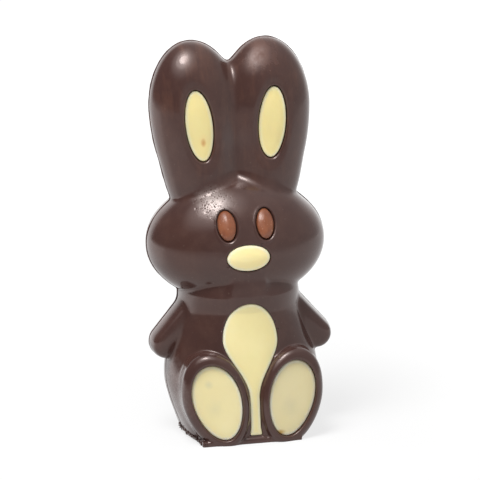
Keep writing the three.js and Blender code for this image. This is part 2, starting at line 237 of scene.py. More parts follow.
WORN_AND_PAINTED_LIGHT = {
    "ears": ((0, 0, 116), (0.045, 0.045, 0.034), 0.3, 0.25),
    # the brow: also a painted highlight
    "brow": ((-10, -16, 83.2), (0.0085, 0.02, 0.0068), 1.2, 0.25),
    "ear_tip": ((11.2, -7.8, 132.6), (0.0085, 0.02, 0.0075), 1.3, 0.8),
    # the side wall: also a painted sheen
    "wall": ((-28, -7, 14), (0.011, 0.018, 0.016), 0.5, 0.25),
}
DUST = (0.22, 0.16, 0.13)
SMEAR = (0.1, 0.052, 0.04)
GRIT = (0.3, 0.21, 0.17)
WIPED = (0.11, 0.048, 0.032)
# Near-white tint of the brow: a painted highlight, the softbox's glare painted into the colour
BROW_PAINTED_HIGHLIGHT = (0.6, 0.53, 0.5)
RUBBED = (0.12, 0.048, 0.032)
# Pale tint of the side wall: powder specks, and an even painted sheen over the whole spot
POWDER_AND_PAINTED_SHEEN = (0.38, 0.32, 0.31)
MILK_SPECK = (0.62, 0.36, 0.24)

# Marks on the white chocolate: centre, radii, softness, colour and strength

COCOA = (0.55, 0.25, 0.06)
COCOA_HALO = (0.82, 0.6, 0.25)
GREY_SMUDGE = (0.52, 0.5, 0.36)
OCHRE = (0.5, 0.3, 0.05)
EAR_MARKS = (
    ((-11.9, -12, 103.6), (0.0024, 0.02, 0.0034), 1.0, COCOA_HALO, 0.5),
    ((-11.9, -12, 103.2), (0.0011, 0.02, 0.0016), 0.8, COCOA, 0.7),
)
RIGHT_PAD_MARKS = (
    ((-16.2, -23, 21.6), (0.0018, 0.02, 0.002), 1.0, GREY_SMUDGE, 0.45),
    ((-14.5, -23, 13), (0.0035, 0.02, 0.004), 1.0, GREY_SMUDGE, 0.2),
)
LEFT_PAD_MARKS = (
    ((12.5, -23, 12), (0.0042, 0.02, 0.0048), 1.0, GREY_SMUDGE, 0.3),
    ((8.2, -23, 3.3), (0.0023, 0.02, 0.0013), 0.7, OCHRE, 0.9),
)
MARK_UNEVENNESS = 0.35

# The white inlays: the name of each one's chocolate, how much it has of the base colour's
# red, green and blue, and its marks. The nose's share is raised as painted light and the left pad's lowered as painted
# shade

WHITE_INLAYS = {
    # Nose lighter than the rest: painted light, as it faces up towards the softbox
    "nose_inlay": ("Nose", (1.14, 1.1, 1.03), ()),
    "belly_inlay": ("Belly", (0.96, 0.96, 0.92), ()),
    "right_ear_inlay": ("Stained Ear", (0.97, 0.94, 0.8), EAR_MARKS),
    "left_ear_inlay": ("Ear", (0.97, 0.94, 0.8), ()),
    "right_foot_pad": ("Right Pad", (0.94, 0.94, 0.97), RIGHT_PAD_MARKS),
    # Left pad darker: painted shade, on the side away from the softbox
    "left_foot_pad": ("Left Pad", (0.86, 0.86, 0.93), LEFT_PAD_MARKS),
}

# Stage, in metres: the lights, what the shine shows of them, and the camera

LIGHT_AIM = (0.0, 0.0, 0.1)
SOFTBOX_CORE = {"place": (-0.218, -0.242, 0.831), "size": 0.25}
SOFTBOX = {"place": (-0.222, -0.247, 0.846), "size": 0.5}
TOP_LIGHT = {"place": (-0.295, -0.22, 0.88), "size": 0.5, "glossy": False}
SOFTBOX_DIRECTION = (-0.2177, -0.2418, 0.7308)
ROOM_AT_LEFT = 1.05
ROOM_AT_RIGHT = 0.8
SEEN_BACKGROUND = 1.1
CAMERA_AIM = (0.0, 0.006, 0.066)
AIM_RIGHT = 0.00162
AIM_UP = 0.00035
SENSOR_WIDTH = 36.0
PICTURE_WIDTH = 480.0
PIXELS_PER_MM = 2.84

# Grid and facets, in millimetres

BODY_BOX = ((-33.6, -27.3, -0.75), (33.6, 27.0, 138.6))
BODY_SHORTEST_EDGE = 0.12
INLAY_SHORTEST_EDGE = 0.1
INLAY_FOLLOW = 0.006
SLOPE_PROBE = 0.03


# Signed distances: negative inside, positive outside

def join(a, b, blend):
    overlap = np.maximum(blend - np.abs(a - b), 0.0) / blend
    return np.minimum(a, b) - overlap * overlap * blend * 0.25


def carve(solid, hollow, blend):
    return -join(-solid, hollow, blend)


def meet(a, b, blend):
    return -join(-a, -b, blend)


def soft_step(value):
    t = np.clip(value, 0.0, 1.0)
    return t * t * (3.0 - 2.0 * t)


def rounded_ramp(value, rounding):
    """Zero below 0 and the value itself above it, with a rounded corner between."""
    low = np.clip(value + rounding, 0.0, 2.0 * rounding)
    return np.where(value < rounding, low * low / (4.0 * rounding), value)


def round_distance(offsets, radii):
    scaled = 0.0
    slope = 0.0
    for offset, radius in zip(offsets, radii):
        scaled = scaled + (offset / radius) ** 2
        slope = slope + (offset / radius**2) ** 2
    size = np.sqrt(scaled)
    return size * (size - 1.0) / np.maximum(np.sqrt(slope), 1e-6)


def ellipsoid(x, y, z, form):
    centre = form["centre"]
    return round_distance((x - centre[0], y - centre[1], z - centre[2]), form["radii"])


def with_lump(solid, x, y, z, form):
    return join(solid, ellipsoid(x, y, z, form), form["blend"])


def profile(height, knots):
    """Smooth curve through (height, size) knots."""
    heights = np.array([knot[0] for knot in knots], dtype=float)
    sizes = np.array([knot[1] for knot in knots], dtype=float)
    spans = np.diff(heights)
    slopes = np.diff(sizes) / spans
    tangents = np.concatenate(([slopes[0]], (slopes[:-1] + slopes[1:]) / 2, [slopes[-1]]))
    i = np.clip(np.searchsorted(heights, height) - 1, 0, len(spans) - 1)
    t = np.clip((height - heights[i]) / spans[i], 0.0, 1.0)
    start = (2 * t**3 - 3 * t**2 + 1) * sizes[i] + (t**3 - 2 * t**2 + t) * spans[i] * tangents[i]
    end = (3 * t**2 - 2 * t**3) * sizes[i + 1] + (t**3 - t**2) * spans[i] * tangents[i + 1]
    return start + end


def egg(u, v, form):
    """An oval that is wider at one end."""
    width = form["half_width"] * (1.0 + form["narrowing"] * v / form["half_height"])
    return round_distance((u, v), (width, form["half_height"]))


def ear_dent(x, z):
    """Depth of the shallow dish around the ear's inlay."""
    form = EAR_DENT
    u = (x - form["across"] - form["tilt"] * (z - form["height"])) / form["half_width"]
    v = (z - form["height"]) / form["half_height"]
    reach = np.maximum(np.hypot(u, v), 1e-6)
    depth = form["depth"] * (1.0 - form["flat_sides"] * u**2 / (reach**2 + form["flat_side_fade"]))
    inside = rounded_ramp((1.0 - reach) / form["slope"], form["softness"])
    return depth * join(inside, 1.0, form["floor_softness"])


def ears(x, y, z):
    """Both ears, with a rounded crease between them where x is near 0."""
    x = np.sqrt(x**2 + EAR["crease_rounding"] ** 2)
    across = x - EAR["across"] + EAR["toe_in"] * np.maximum(EAR["widest_at"] - z, 0.0)
    depth = np.where(y < EAR["along"], EAR["front"], EAR["back"])
    tall = np.where(z < EAR["widest_at"], EAR["below"], EAR["above"])
    offsets = (across, y - EAR["along"], z - EAR["widest_at"])
    ear = round_distance(offsets, (EAR["half_width"], depth, tall))
    ear = ear + ear_dent(x, z) * soft_step(-y / EAR["front"])
    return with_lump(ear, x, y, z, EAR_ROOT)


def torso(x, y, z):
    height = np.clip(z, TORSO["bottom"], TORSO["top"])
    near_front = (np.minimum(y, 0.0) / TORSO["front"][0][1]) ** 2
    taper = TORSO["front_taper"] * near_front * np.clip(1.0 - z / TORSO["front_taper_top"], 0.0, 1.0)
    half_width = profile(height, TORSO["half_width"]) * (1.0 - taper)
    under_chin = soft_step((NECK["half_width"] - x) / NECK["fade"]) * np.maximum(height - NECK["from"], 0.0)
    front = profile(height, TORSO["front"]) + NECK["fill"] * under_chin
    reach = np.where(y < 0, front, profile(height, TORSO["back"]))
    power = profile(height, TORSO["squareness"])
    size = ((x / half_width) ** power + (np.abs(y) / reach) ** power) ** (1.0 / power)
    wall = (size - 1.0) * np.minimum(half_width, reach)
    return np.maximum(wall, z - TORSO["top"])


def arm(x, y, z):
    """A round cone from shoulder to hand, deeper than it is wide, with a nearly flat front."""
    start = ARM["shoulder"]
    axis = np.subtract(ARM["hand"], start)
    length = np.linalg.norm(axis)
    px, py, pz = x - start[0], (y - start[1]) / ARM["deepness"], z - start[2]
    along = (px * axis[0] + py * axis[1] + pz * axis[2]) / length
    off = np.sqrt(np.maximum(px**2 + py**2 + pz**2 - along**2, 0.0))
    slant = (ARM["shoulder_radius"] - ARM["hand_radius"]) / length
    t = np.clip((along + off * slant) / length, 0.0, 1.0)
    radius = ARM["shoulder_radius"] + (ARM["hand_radius"] - ARM["shoulder_radius"]) * t
    cone = np.hypot(off, along - t * length) - radius
    face = ARM_FACE["front"] - y + (z - ARM_FACE["middle"]) ** 2 / (2.0 * ARM_FACE["bow"])
    return meet(cone, face, ARM_FACE["blend"])


def sole_plane(x):
    return FOOT["sole"] + FOOT["splay"] * (x - FOOT["across"])


def sole_floor(x):
    return sole_plane(np.abs(x)) + SOLE_RECESS["depth"]


def foot(x, y, z):
    """A thick rounded slab that leans outwards, with the sole's recess in its front."""
    square = 1.0 / math.hypot(1.0, FOOT["tilt"])
    u = (x - FOOT["across"] - FOOT["tilt"] * (z - FOOT["height"])) * square
    v = (z - FOOT["height"] + FOOT["tilt"] * (x - FOOT["across"])) * square
    rounding = FOOT["rounding"]
    draft = FOOT["draft"] * soft_step(v / FOOT["draft_reach"])
    outline = egg(u, v, FOOT) + draft * (y - FOOT["sole"]) + rounding
    faces = np.maximum(sole_plane(x) - FOOT["rim"] - y, y + FOOT["reach_back"]) + rounding
    inside = np.minimum(np.maximum(outline, faces), 0.0)
    slab = inside + np.hypot(np.maximum(outline, 0.0), np.maximum(faces, 0.0)) - rounding
    recess = np.maximum(egg(u + SOLE_RECESS["inward"], v + SOLE_RECESS["down"], SOLE_RECESS), y - sole_floor(x))
    return carve(slab, recess, FOOT["blend"])


def base(x, y, z):
    """The low straight edge that the figure stands on, in front between and under the feet."""
    rounding = BASE["rounding"]
    sides = (
        np.abs(x - BASE["across"]) - BASE["half_width"] + rounding,
        BASE["front"] - y + rounding,
        y - BASE["back"],
        z - BASE["height"] + rounding,
    )
    out = np.sqrt(sum(np.maximum(side, 0.0) ** 2 for side in sides)) - rounding
    return np.where(out > -rounding, out, np.max(sides, axis=0) - rounding)


def figure(x, y, z):
    """The whole moulded figure, without the recesses of its inlays."""
    across, x = x, np.abs(x)
    upper = ellipsoid(x, y, z, HEAD)
    for lump in (CROWN, CROWN_LOBE):
        upper = with_lump(upper, x, y, z, lump)
    near_middle = soft_step((EAR["inner_half_width"] - x) / EAR["inner_fade"])
    behind = soft_step(y / EAR["nape_reach"])
    blend = EAR["blend"] + near_middle * (EAR["inner_blend"] + EAR["nape_blend"] * behind)
    upper = join(upper, ears(x, y, z), blend)
    lower = join(torso(x, y, z), arm(x, y, z), ARM["blend"])
    lower = join(lower, foot(x, y, z), FOOT["blend"])
    lower = join(lower, base(across, y, z), BASE["blend"])
    whole = join(upper, lower, TORSO["blend"])
    for lump in (CHIN_TUFT, TAIL):
        whole = with_lump(whole, x, y, z, lump)
    return whole


# Inlays: a flat outline, and the surface that the inlay lies in

def egg_outline(form, side=1):
    square = 1.0 / math.hypot(1.0, form["tilt"])

    def outline(x, z):
        across = x * side - form["across"]
        up = z - form["height"]
        u = (across - form["tilt"] * up) * square
        v = (up + form["tilt"] * across) * square
        return egg(u, v, form)

    return outline


def belly_half_width(z):
    down = np.clip((BELLY["widest_at"] - z) / BELLY["waist"], 0.0, 1.0)
    flare = BELLY["tail_flare"] * np.clip((BELLY["flare_top"] - z) / BELLY["flare_height"], 0.0, 1.0)
    shoulder = 0.5 + 0.5 * np.cos(math.pi * down ** BELLY["shoulder_power"])
    return BELLY["tail_half_width"] + flare + (BELLY["half_width"] - BELLY["tail_half_width"]) * shoulder


def belly_outline(x, z, probe=0.2):
    """A bulb above, drawn in to a narrow strip between the feet that flares at its end."""
    x = np.abs(x)
    tall = BELLY["top"] - BELLY["widest_at"]
    bulb = round_distance((x, z - BELLY["widest_at"]), (BELLY["half_width"], tall))
    slope = (belly_half_width(z + probe) - belly_half_width(z - probe)) / (2 * probe)
    strip = (x - belly_half_width(z)) / np.hypot(1.0, slope)
    whole = np.where(z > BELLY["widest_at"], bulb, strip)
    return meet(whole, BELLY["bottom"] - z, BELLY["end_rounding"])


def sole_cover(x, y, z):
    """The flat floor of the soles' recesses, which the foot pads lie on."""
    return sole_floor(x) - y


def inlay(outline, cover, low, high, relief):
    return {"outline": outline, "cover": cover, "box": (low, high), **RELIEF[relief]}


def all_inlays():
    """Each inlay's outline, the surface that it lies in, the box around it and its relief."""
    inlays = {
        "nose_inlay": inlay(egg_outline(NOSE), figure, (-8.5, -26, 59), (8.5, -16, 70.2), "nose"),
        "belly_inlay": inlay(belly_outline, figure, (-11, -27, 1.5), (11, -13, 49.5), "belly"),
    }
    pairs = (
        ("ear_inlay", EAR_INLAY, figure, (6.5, -17, 95), (19.5, -6, 123), "ear"),
        ("foot_pad", FOOT_PAD, sole_cover, (4, -27, 0.5), (23, -18, 30), "pad"),
        ("eye", EYE, figure, (2.5, -27, 69.5), (11, -14, 82.5), "eye"),
    )
    for word, side in (("left", 1), ("right", -1)):
        for node, form, cover, inner, outer, relief in pairs:
            ends = sorted((side * inner[0], side * outer[0]))
            low, high = (ends[0], *inner[1:]), (ends[1], *outer[1:])
            inlays[f"{word}_{node}"] = inlay(egg_outline(form, side), cover, low, high, relief)
    return inlays


INLAYS = all_inlays()


def inlay_distance(part, x, y, z):
    off = part["outline"](x, z)
    inside = np.clip(-off / part["reach"], 0.0, 1.0)
    dome = part["crown"] * (1.0 - (1.0 - inside) ** 2) - part["sink"]
    cover = part["cover"](x, y, z)
    front = meet(cover - dome, off, INLAY_FRONT_EDGE)
    return meet(front, -cover - INLAY_THICKNESS, INLAY_BACK_EDGE)


def body_distance(x, y, z, gap, pits):
    """The figure with its recesses, the raised beads around them and the brow's pits."""
    whole = figure(x, y, z)
    solid = whole.copy()
    for part in INLAYS.values():
        low, high = part["box"]
        near = (x > low[0]) & (x < high[0]) & (z > low[2]) & (z < high[2]) & (y < high[1])
        if not near.any():
            continue
        px, py, pz = x[near], y[near], z[near]
        cover = whole[near] if part["cover"] is figure else part["cover"](px, py, pz)
        off = part["outline"](px, pz) - part["groove"]
        hollow = np.maximum(off - gap, -cover - RECESS_DEPTH)
        bead = part["bead"] * np.exp(-(((off - BEAD["away"]) / BEAD["width"]) ** 2))
        solid[near] = carve(solid[near] - bead, hollow, part["lip"])
    for centre, radius in pits:
        away = (x - centre[0]) ** 2 + (y - centre[1]) ** 2 + (z - centre[2]) ** 2
        near = away < (radius + BROW_PITS["reach"]) ** 2
        if near.any():
            solid[near] = carve(solid[near], np.sqrt(away[near]) - radius, BROW_PITS["lip"])
    return np.maximum(solid, -z)


# Burst bubbles

def front_of(shape, x, z, start=-30.0, step=0.5, halvings=12):
    """Depth of the front surface at each place, seen along +Y."""
    outside = np.full(x.shape, start)
    inside = np.zeros(x.shape)
    for depth in np.arange(start, 0.0, step):
        here = shape(x, np.full(x.shape, depth), z)
        outside = np.where((here > 0) & (inside == 0.0), depth, outside)
        inside = np.where((here <= 0) & (inside == 0.0), depth, inside)
    for _ in range(halvings):
        middle = (inside + outside) / 2
        out = shape(x, middle, z) > 0
        outside = np.where(out, middle, outside)
        inside = np.where(out, inside, middle)
    return inside


def brow_pits(count, seed):
    """Burst bubbles crowded together on the brow above the bunny's right eye."""
    form = BROW_PITS
    chance = np.random.default_rng(seed)
    x = chance.normal(form["across"], form["spread"][0], count)
    z = chance.normal(form["height"], form["spread"][1], count) + form["slant"] * (x - form["across"])
    radius = chance.uniform(*form["radius"], count)
    y = front_of(figure, x, z)
    return [((px, py - form["proud"] * r, pz), r) for px, py, pz, r in zip(x, y, z, radius)]


# Facet surfaces

def slope_of(shape, points):
    slope = np.empty_like(points)
    for axis in range(3):
        step = np.zeros(3)
        step[axis] = SLOPE_PROBE
        slope[:, axis] = (shape(*(points + step).T) - shape(*(points - step).T)) / (2 * SLOPE_PROBE)
    return slope


def settle(shape, points, steps=3, stride=0.9, gentlest=0.25):
    """Moves points onto the surface of the shape."""
    for _ in range(steps):
        slope = slope_of(shape, points)
        steepness = np.maximum((slope**2).sum(axis=1), gentlest)
        points = points - slope * (stride * shape(*points.T) / steepness)[:, None]
    return points


def surface_net(shape, low, high, cell):
    """Triangles around everything inside a shape, with one vertex in each grid cell that its
    surface passes through."""
    low = np.asarray(low, dtype=float)
    counts = [int(math.ceil((high[axis] - low[axis]) / cell)) + 1 for axis in range(3)]
    lines = [low[axis] + cell * np.arange(counts[axis]) for axis in range(3)]
    values = np.empty(counts)
    for i, x in enumerate(lines[0]):
        y, z = np.meshgrid(lines[1], lines[2], indexing="ij")
        values[i] = shape(np.full(y.size, x), y.ravel(), z.ravel()).reshape(y.shape)
    inside = values < 0
    corners = [(i, j, k) for i in (0, 1) for j in (0, 1) for k in (0, 1)]
    spans = [count - 1 for count in counts]

    def window(array, corner):
        return array[tuple(slice(c, c + span) for c, span in zip(corner, spans))]

    hits = sum(window(inside, corner).astype(int) for corner in corners)
    crossed = (hits > 0) & (hits < 8)
    number = np.full(crossed.shape, -1)
    number[crossed] = np.arange(crossed.sum())
    cells = np.argwhere(crossed)
    total = np.zeros((len(cells), 3))
    weight = np.zeros(len(cells))
    for a in corners:
        for axis in range(3):
            if a[axis]:
                continue
            b = tuple(c + (k == axis) for k, c in enumerate(a))
            at_a = values[tuple((cells + a).T)]
            at_b = values[tuple((cells + b).T)]
            cut = (at_a < 0) != (at_b < 0)
            share = np.where(cut, at_a / np.where(cut, at_a - at_b, 1.0), 0.0)
            point = np.tile(np.array(a, dtype=float), (len(cells), 1))
            point[:, axis] = share
            total += np.where(cut[:, None], point, 0.0)
            weight += cut
    points = low + cell * (cells + total / weight[:, None])
    triangles = []
    for axis in range(3):
        here = [slice(None)] * 3
        there = [slice(None)] * 3
        here[axis] = slice(0, counts[axis] - 1)
        there[axis] = slice(1, counts[axis])
        side_a, side_b = inside[tuple(here)], inside[tuple(there)]
        u, v = (axis + 1) % 3, (axis + 2) % 3
        at = np.argwhere(side_a != side_b)
        at = at[(at[:, u] > 0) & (at[:, v] > 0) & (at[:, u] < spans[u]) & (at[:, v] < spans[v])]

        def ring(du, dv):
            cell_at = at.copy()
            cell_at[:, u] -= du
            cell_at[:, v] -= dv
            return number[tuple(cell_at.T)]

        quads = np.stack([ring(1, 1), ring(0, 1), ring(0, 0), ring(1, 0)], axis=1)
        outward = ~side_a[tuple(at.T)]
        quads[outward] = quads[outward][:, ::-1]
        triangles += [quads[:, [0, 1, 2]], quads[:, [0, 2, 3]]]
    return points, np.concatenate(triangles)


def split_edges(points, triangles, wanted):
    """Splits every edge that is wanted, and each triangle by how many of its edges are."""
    pairs = np.sort(triangles[:, [[0, 1], [1, 2], [2, 0]]].reshape(-1, 2), axis=1)
    keys, back = np.unique(pairs[:, 0].astype(np.int64) * len(points) + pairs[:, 1], return_inverse=True)
    ends = points[keys // len(points)], points[keys % len(points)]
    marked = wanted(*ends)
    if not marked.any():
        return points, triangles, 0
    middle = np.full(len(keys), -1)
    middle[marked] = len(points) + np.arange(marked.sum())
    points = np.concatenate([points, (ends[0][marked] + ends[1][marked]) / 2])
    cut = middle[back].reshape(-1, 3)
    amount = (cut >= 0).sum(axis=1)
    parts = [triangles[amount == 0]]
    for k in range(3):
        order = [k, (k + 1) % 3, (k + 2) % 3]
        rows = (amount == 1) & (cut[:, k] >= 0)
        a, b, c = triangles[rows][:, order].T
        m = cut[rows, k]
        parts += [np.stack([a, m, c], axis=1), np.stack([m, b, c], axis=1)]
        rows = (amount == 2) & (cut[:, k] < 0)
        a, b, c = triangles[rows][:, order].T
        p, q = cut[rows, order[1]], cut[rows, order[2]]
        parts += [np.stack([p, c, q], axis=1)]
        shorter = np.linalg.norm(points[a] - points[p], axis=1) < np.linalg.norm(points[b] - points[q], axis=1)
        first = np.where(shorter[:, None], np.stack([a, b, p], axis=1), np.stack([a, b, q], axis=1))
        second = np.where(shorter[:, None], np.stack([a, p, q], axis=1), np.stack([b, p, q], axis=1))
        parts += [first, second]
    rows = amount == 3
    a, b, c = triangles[rows].T
    x, y, z = cut[rows].T
    for corners in ((a, x, z), (x, b, y), (z, y, c), (x, y, z)):
        parts.append(np.stack(corners, axis=1))
    return points, np.concatenate(parts), int(marked.sum())


def refined(shape, points, triangles, tolerance, shortest, limit, rounds=4):
    """Splits edges that lie off the surface, until the facets follow it."""

    def wanted(a, b):
        length = np.linalg.norm(a - b, axis=1)
        off = np.abs(shape(*((a + b) / 2).T))
        return (off > tolerance) & (length > 2 * shortest)

    for _ in range(rounds):
        before = len(points)
        points, triangles, added = split_edges(points, triangles, wanted)
        if added == 0:
            break
        points[before:] = settle(shape, points[before:])
        if len(triangles) > limit:
            break
    return points, triangles


def facets(shape, low, high, cell, tolerance, shortest, limit=150000):
    """Points and triangles of a shape's surface, with the triangles facing outwards."""
    points, triangles = surface_net(shape, low, high, cell)
    points = settle(shape, points, steps=4)
    points, triangles = refined(shape, points, triangles, tolerance, shortest, limit)
    a, b, c = (points[triangles[:, k]] for k in range(3))
    if (a * np.cross(b, c)).sum() < 0:
        triangles = triangles[:, ::-1]
    return points, triangles


# Pieces

def leaning(x, y, z):
    """A place on the figure in metres, from millimetres with y off the parting plane."""
    return (x * MM, (y + LEAN * z) * MM, z * MM)


def add_object(name, data):
    thing = bpy.data.objects.new(name, data)
    bpy.context.scene.collection.objects.link(thing)
    return thing


def add_piece(name, points, triangles, material, node):
    """Makes the Blender mesh of a piece, with the figure's lean and in metres."""
    points = points.copy()
    points[:, 1] += LEAN * points[:, 2]
    mesh = bpy.data.meshes.new(name)
    mesh.from_pydata((points * MM).tolist(), [], triangles.tolist())
    mesh.validate()
    mesh.materials.append(material)
    mesh.shade_smooth()
    piece = add_object(name, mesh)
    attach(piece, BODY)
    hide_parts(node)
    return piece


# Materials

def title(key):
    return key.replace("_", " ").title()


def feed(tree, socket, value):
    """Links another node's output to a socket, or sets the socket's own value."""
    if isinstance(value, bpy.types.NodeSocket):
        tree.links.new(value, socket)
    elif socket.type == "RGBA":
        socket.default_value = (*value, 1.0)
    else:
        socket.default_value = value


def set_sockets(tree, node, values):
    for label, value in values.items():
        feed(tree, node.inputs[label], value)


def math_node(tree, operation, *values, clamp=False):
    node = tree.nodes.new("ShaderNodeMath")
    node.operation = operation
    node.use_clamp = clamp
    for socket, value in zip(node.inputs, values):
        feed(tree, socket, value)
    return node.outputs[0]


def vector_math(tree, operation, *values):
    node = tree.nodes.new("ShaderNodeVectorMath")
    node.operation = operation
    for socket, value in zip(node.inputs, values):
        feed(tree, socket, value)
    return node.outputs["Value" if operation in ("LENGTH", "DOT_PRODUCT") else "Vector"]


def parts_of(tree, vector):
    node = tree.nodes.new("ShaderNodeSeparateXYZ")
    tree.links.new(vector, node.inputs[0])
    return node.outputs


def vector_of(tree, *parts):
    node = tree.nodes.new("ShaderNodeCombineXYZ")
    for socket, part in zip(node.inputs, parts):
        feed(tree, socket, part)
    return node.outputs[0]


def ramp(tree, value, low, high, start=0.0, end=1.0, smooth=True):
    node = tree.nodes.new("ShaderNodeMapRange")
    node.interpolation_type = "SMOOTHSTEP" if smooth else "LINEAR"
    set_sockets(tree, node, {"Value": value, "From Min": low, "From Max": high, "To Min": start, "To Max": end})
    return node.outputs["Result"]


def number_mix(tree, factor, a, b):
    node = tree.nodes.new("ShaderNodeMix")
    for socket, value in zip((node.inputs[0], node.inputs[2], node.inputs[3]), (factor, a, b)):
        feed(tree, socket, value)
    return node.outputs[0]


def mixed(tree, factor, a, b):
    """A mix of two colours."""
    node = tree.nodes.new("ShaderNodeMix")
    node.data_type = "RGBA"
    for socket, value in zip((node.inputs[0], node.inputs[6], node.inputs[7]), (factor, a, b)):
        feed(tree, socket, value)
    return node.outputs[2]


def tinted(tree, colour, mask, strength, tint):
    """The colour, moved towards the tint where the mask is."""
    return mixed(tree, math_node(tree, "MULTIPLY", mask, strength), colour, tint)


def noise(tree, vector, scale, detail=2.0, roughness=0.5):
    node = tree.nodes.new("ShaderNodeTexNoise")
    set_sockets(tree, node, {"Vector": vector, "Scale": scale, "Detail": detail, "Roughness": roughness})
    return node.outputs["Fac"]


def new_group(name, output, inputs):
    """A shader node group with a position, the named inputs and one output."""
    group = bpy.data.node_groups.new(name, "ShaderNodeTree")
    for label, default in {"Position": (0.0, 0.0, 0.0), **inputs}.items():
        kind = "NodeSocketVector" if isinstance(default, tuple) else "NodeSocketFloat"
        socket = group.interface.new_socket(label, in_out="INPUT", socket_type=kind)
        socket.default_value = default
    group.interface.new_socket(output, in_out="OUTPUT", socket_type="NodeSocketFloat")
    given = group.nodes.new("NodeGroupInput").outputs
    result = group.nodes.new("NodeGroupOutput").inputs[0]
    return group, given, result


def mould_skin_group(name):
    """Height of a poured surface: slow ripples and a fine orange peel."""
    inputs = {"Ripple Scale": 90.0, "Peel Scale": 900.0, "Peel Share": 0.1}
    group, given, height = new_group(name, "Height", inputs)
    slow = noise(group, given["Position"], given["Ripple Scale"], 1.0)
    fine = noise(group, given["Position"], given["Peel Scale"], 2.0)
    peel = math_node(group, "MULTIPLY", fine, given["Peel Share"])
    group.links.new(math_node(group, "ADD", slow, peel), height)
    return group


def patches_group(name):
    """Soft uneven patches, such as bloom or a worn shine."""
    group, given, mask = new_group(name, "Mask", {"Scale": 60.0, "Coverage": 0.5})
    value = noise(group, given["Position"], given["Scale"], 4.0, 0.6)
    low = math_node(group, "SUBTRACT", 1.0, given["Coverage"])
    over = math_node(group, "SUBTRACT", value, math_node(group, "MULTIPLY", low, 0.8))
    group.links.new(math_node(group, "MULTIPLY", over, 4.0, clamp=True), mask)
    return group


def specks_group(name):
    """Tiny round specks: dust, crumbs and burst air bubbles."""
    group, given, mask = new_group(name, "Mask", {"Scale": 600.0, "Size": 0.2})
    cells = group.nodes.new("ShaderNodeTexVoronoi")
    set_sockets(group, cells, {"Vector": given["Position"], "Scale": given["Scale"]})
    chance = group.nodes.new("ShaderNodeSeparateColor")
    group.links.new(cells.outputs["Color"], chance.inputs["Color"])
    size = math_node(group, "MULTIPLY", given["Size"], chance.outputs["Red"])
    under = math_node(group, "SUBTRACT", size, cells.outputs["Distance"])
    group.links.new(math_node(group, "MULTIPLY", under, 12.0, clamp=True), mask)
    return group


def spot_group(name):
    """A round mark at one place, with an uneven edge: a stain, a smudge or a rubbed patch."""
    inputs = {"Centre": (0.0, 0.0, 0.0), "Radii": (0.003, 0.003, 0.003), "Softness": 0.5, "Unevenness": 0.4}
    group, given, mask = new_group(name, "Mask", inputs)
    away = vector_math(group, "SUBTRACT", given["Position"], given["Centre"])
    length = vector_math(group, "LENGTH", vector_math(group, "DIVIDE", away, given["Radii"]))
    wobble = noise(group, given["Position"], 500.0, 3.0, 0.6)
    wobble = math_node(group, "MULTIPLY", math_node(group, "SUBTRACT", wobble, 0.5), given["Unevenness"])
    reach = math_node(group, "ADD", length, math_node(group, "MULTIPLY", wobble, 2.0))
    inside = math_node(group, "SUBTRACT", 1.0, reach)
    group.links.new(math_node(group, "DIVIDE", inside, given["Softness"], clamp=True), mask)
    return group


def streaks_group(name):
    """Upright smears, where something was wiped along the surface."""
    group, given, mask = new_group(name, "Mask", {"Scale": 260.0, "Length": 4.0})
    x, y, z = parts_of(group, given["Position"])
    y, z = (math_node(group, "DIVIDE", part, given["Length"]) for part in (y, z))
    value = noise(group, vector_of(group, x, y, z), given["Scale"], 3.0, 0.6)
    over = math_node(group, "SUBTRACT", value, 0.5)
    group.links.new(math_node(group, "MULTIPLY", over, 5.0, clamp=True), mask)
    return group


EFFECTS = {
    "Mould Skin": mould_skin_group,
    "Soft Patches": patches_group,
    "Specks": specks_group,
    "Spot": spot_group,
    "Streaks": streaks_group,
}


def effect(tree, name, position, **values):
    """Places a shared node group in a material, with the material's own values."""
    node = tree.nodes.new("ShaderNodeGroup")
    node.node_tree = bpy.data.node_groups.get(name) or EFFECTS[name](name)
    tree.links.new(position, node.inputs["Position"])
    set_sockets(tree, node, {title(key): value for key, value in values.items()})
    return node.outputs[0]


def new_material(name):
    material = bpy.data.materials.new(name)
    material.use_nodes = True
    tree = material.node_tree
    shader = tree.nodes["Principled BSDF"]
    position = tree.nodes.new("ShaderNodeTexCoord").outputs["Object"]
    return material, tree, shader, position


def bump(tree, shader, height, distance):
    node = tree.nodes.new("ShaderNodeBump")
    set_sockets(tree, node, {"Strength": 1.0, "Distance": distance, "Height": height})
    tree.links.new(node.outputs["Normal"], shader.inputs["Normal"])


def spot(tree, position, centre, radii, softness, unevenness):
    values = {"radii": radii, "softness": softness, "unevenness": unevenness}
    return effect(tree, "Spot", position, centre=leaning(*centre), **values)


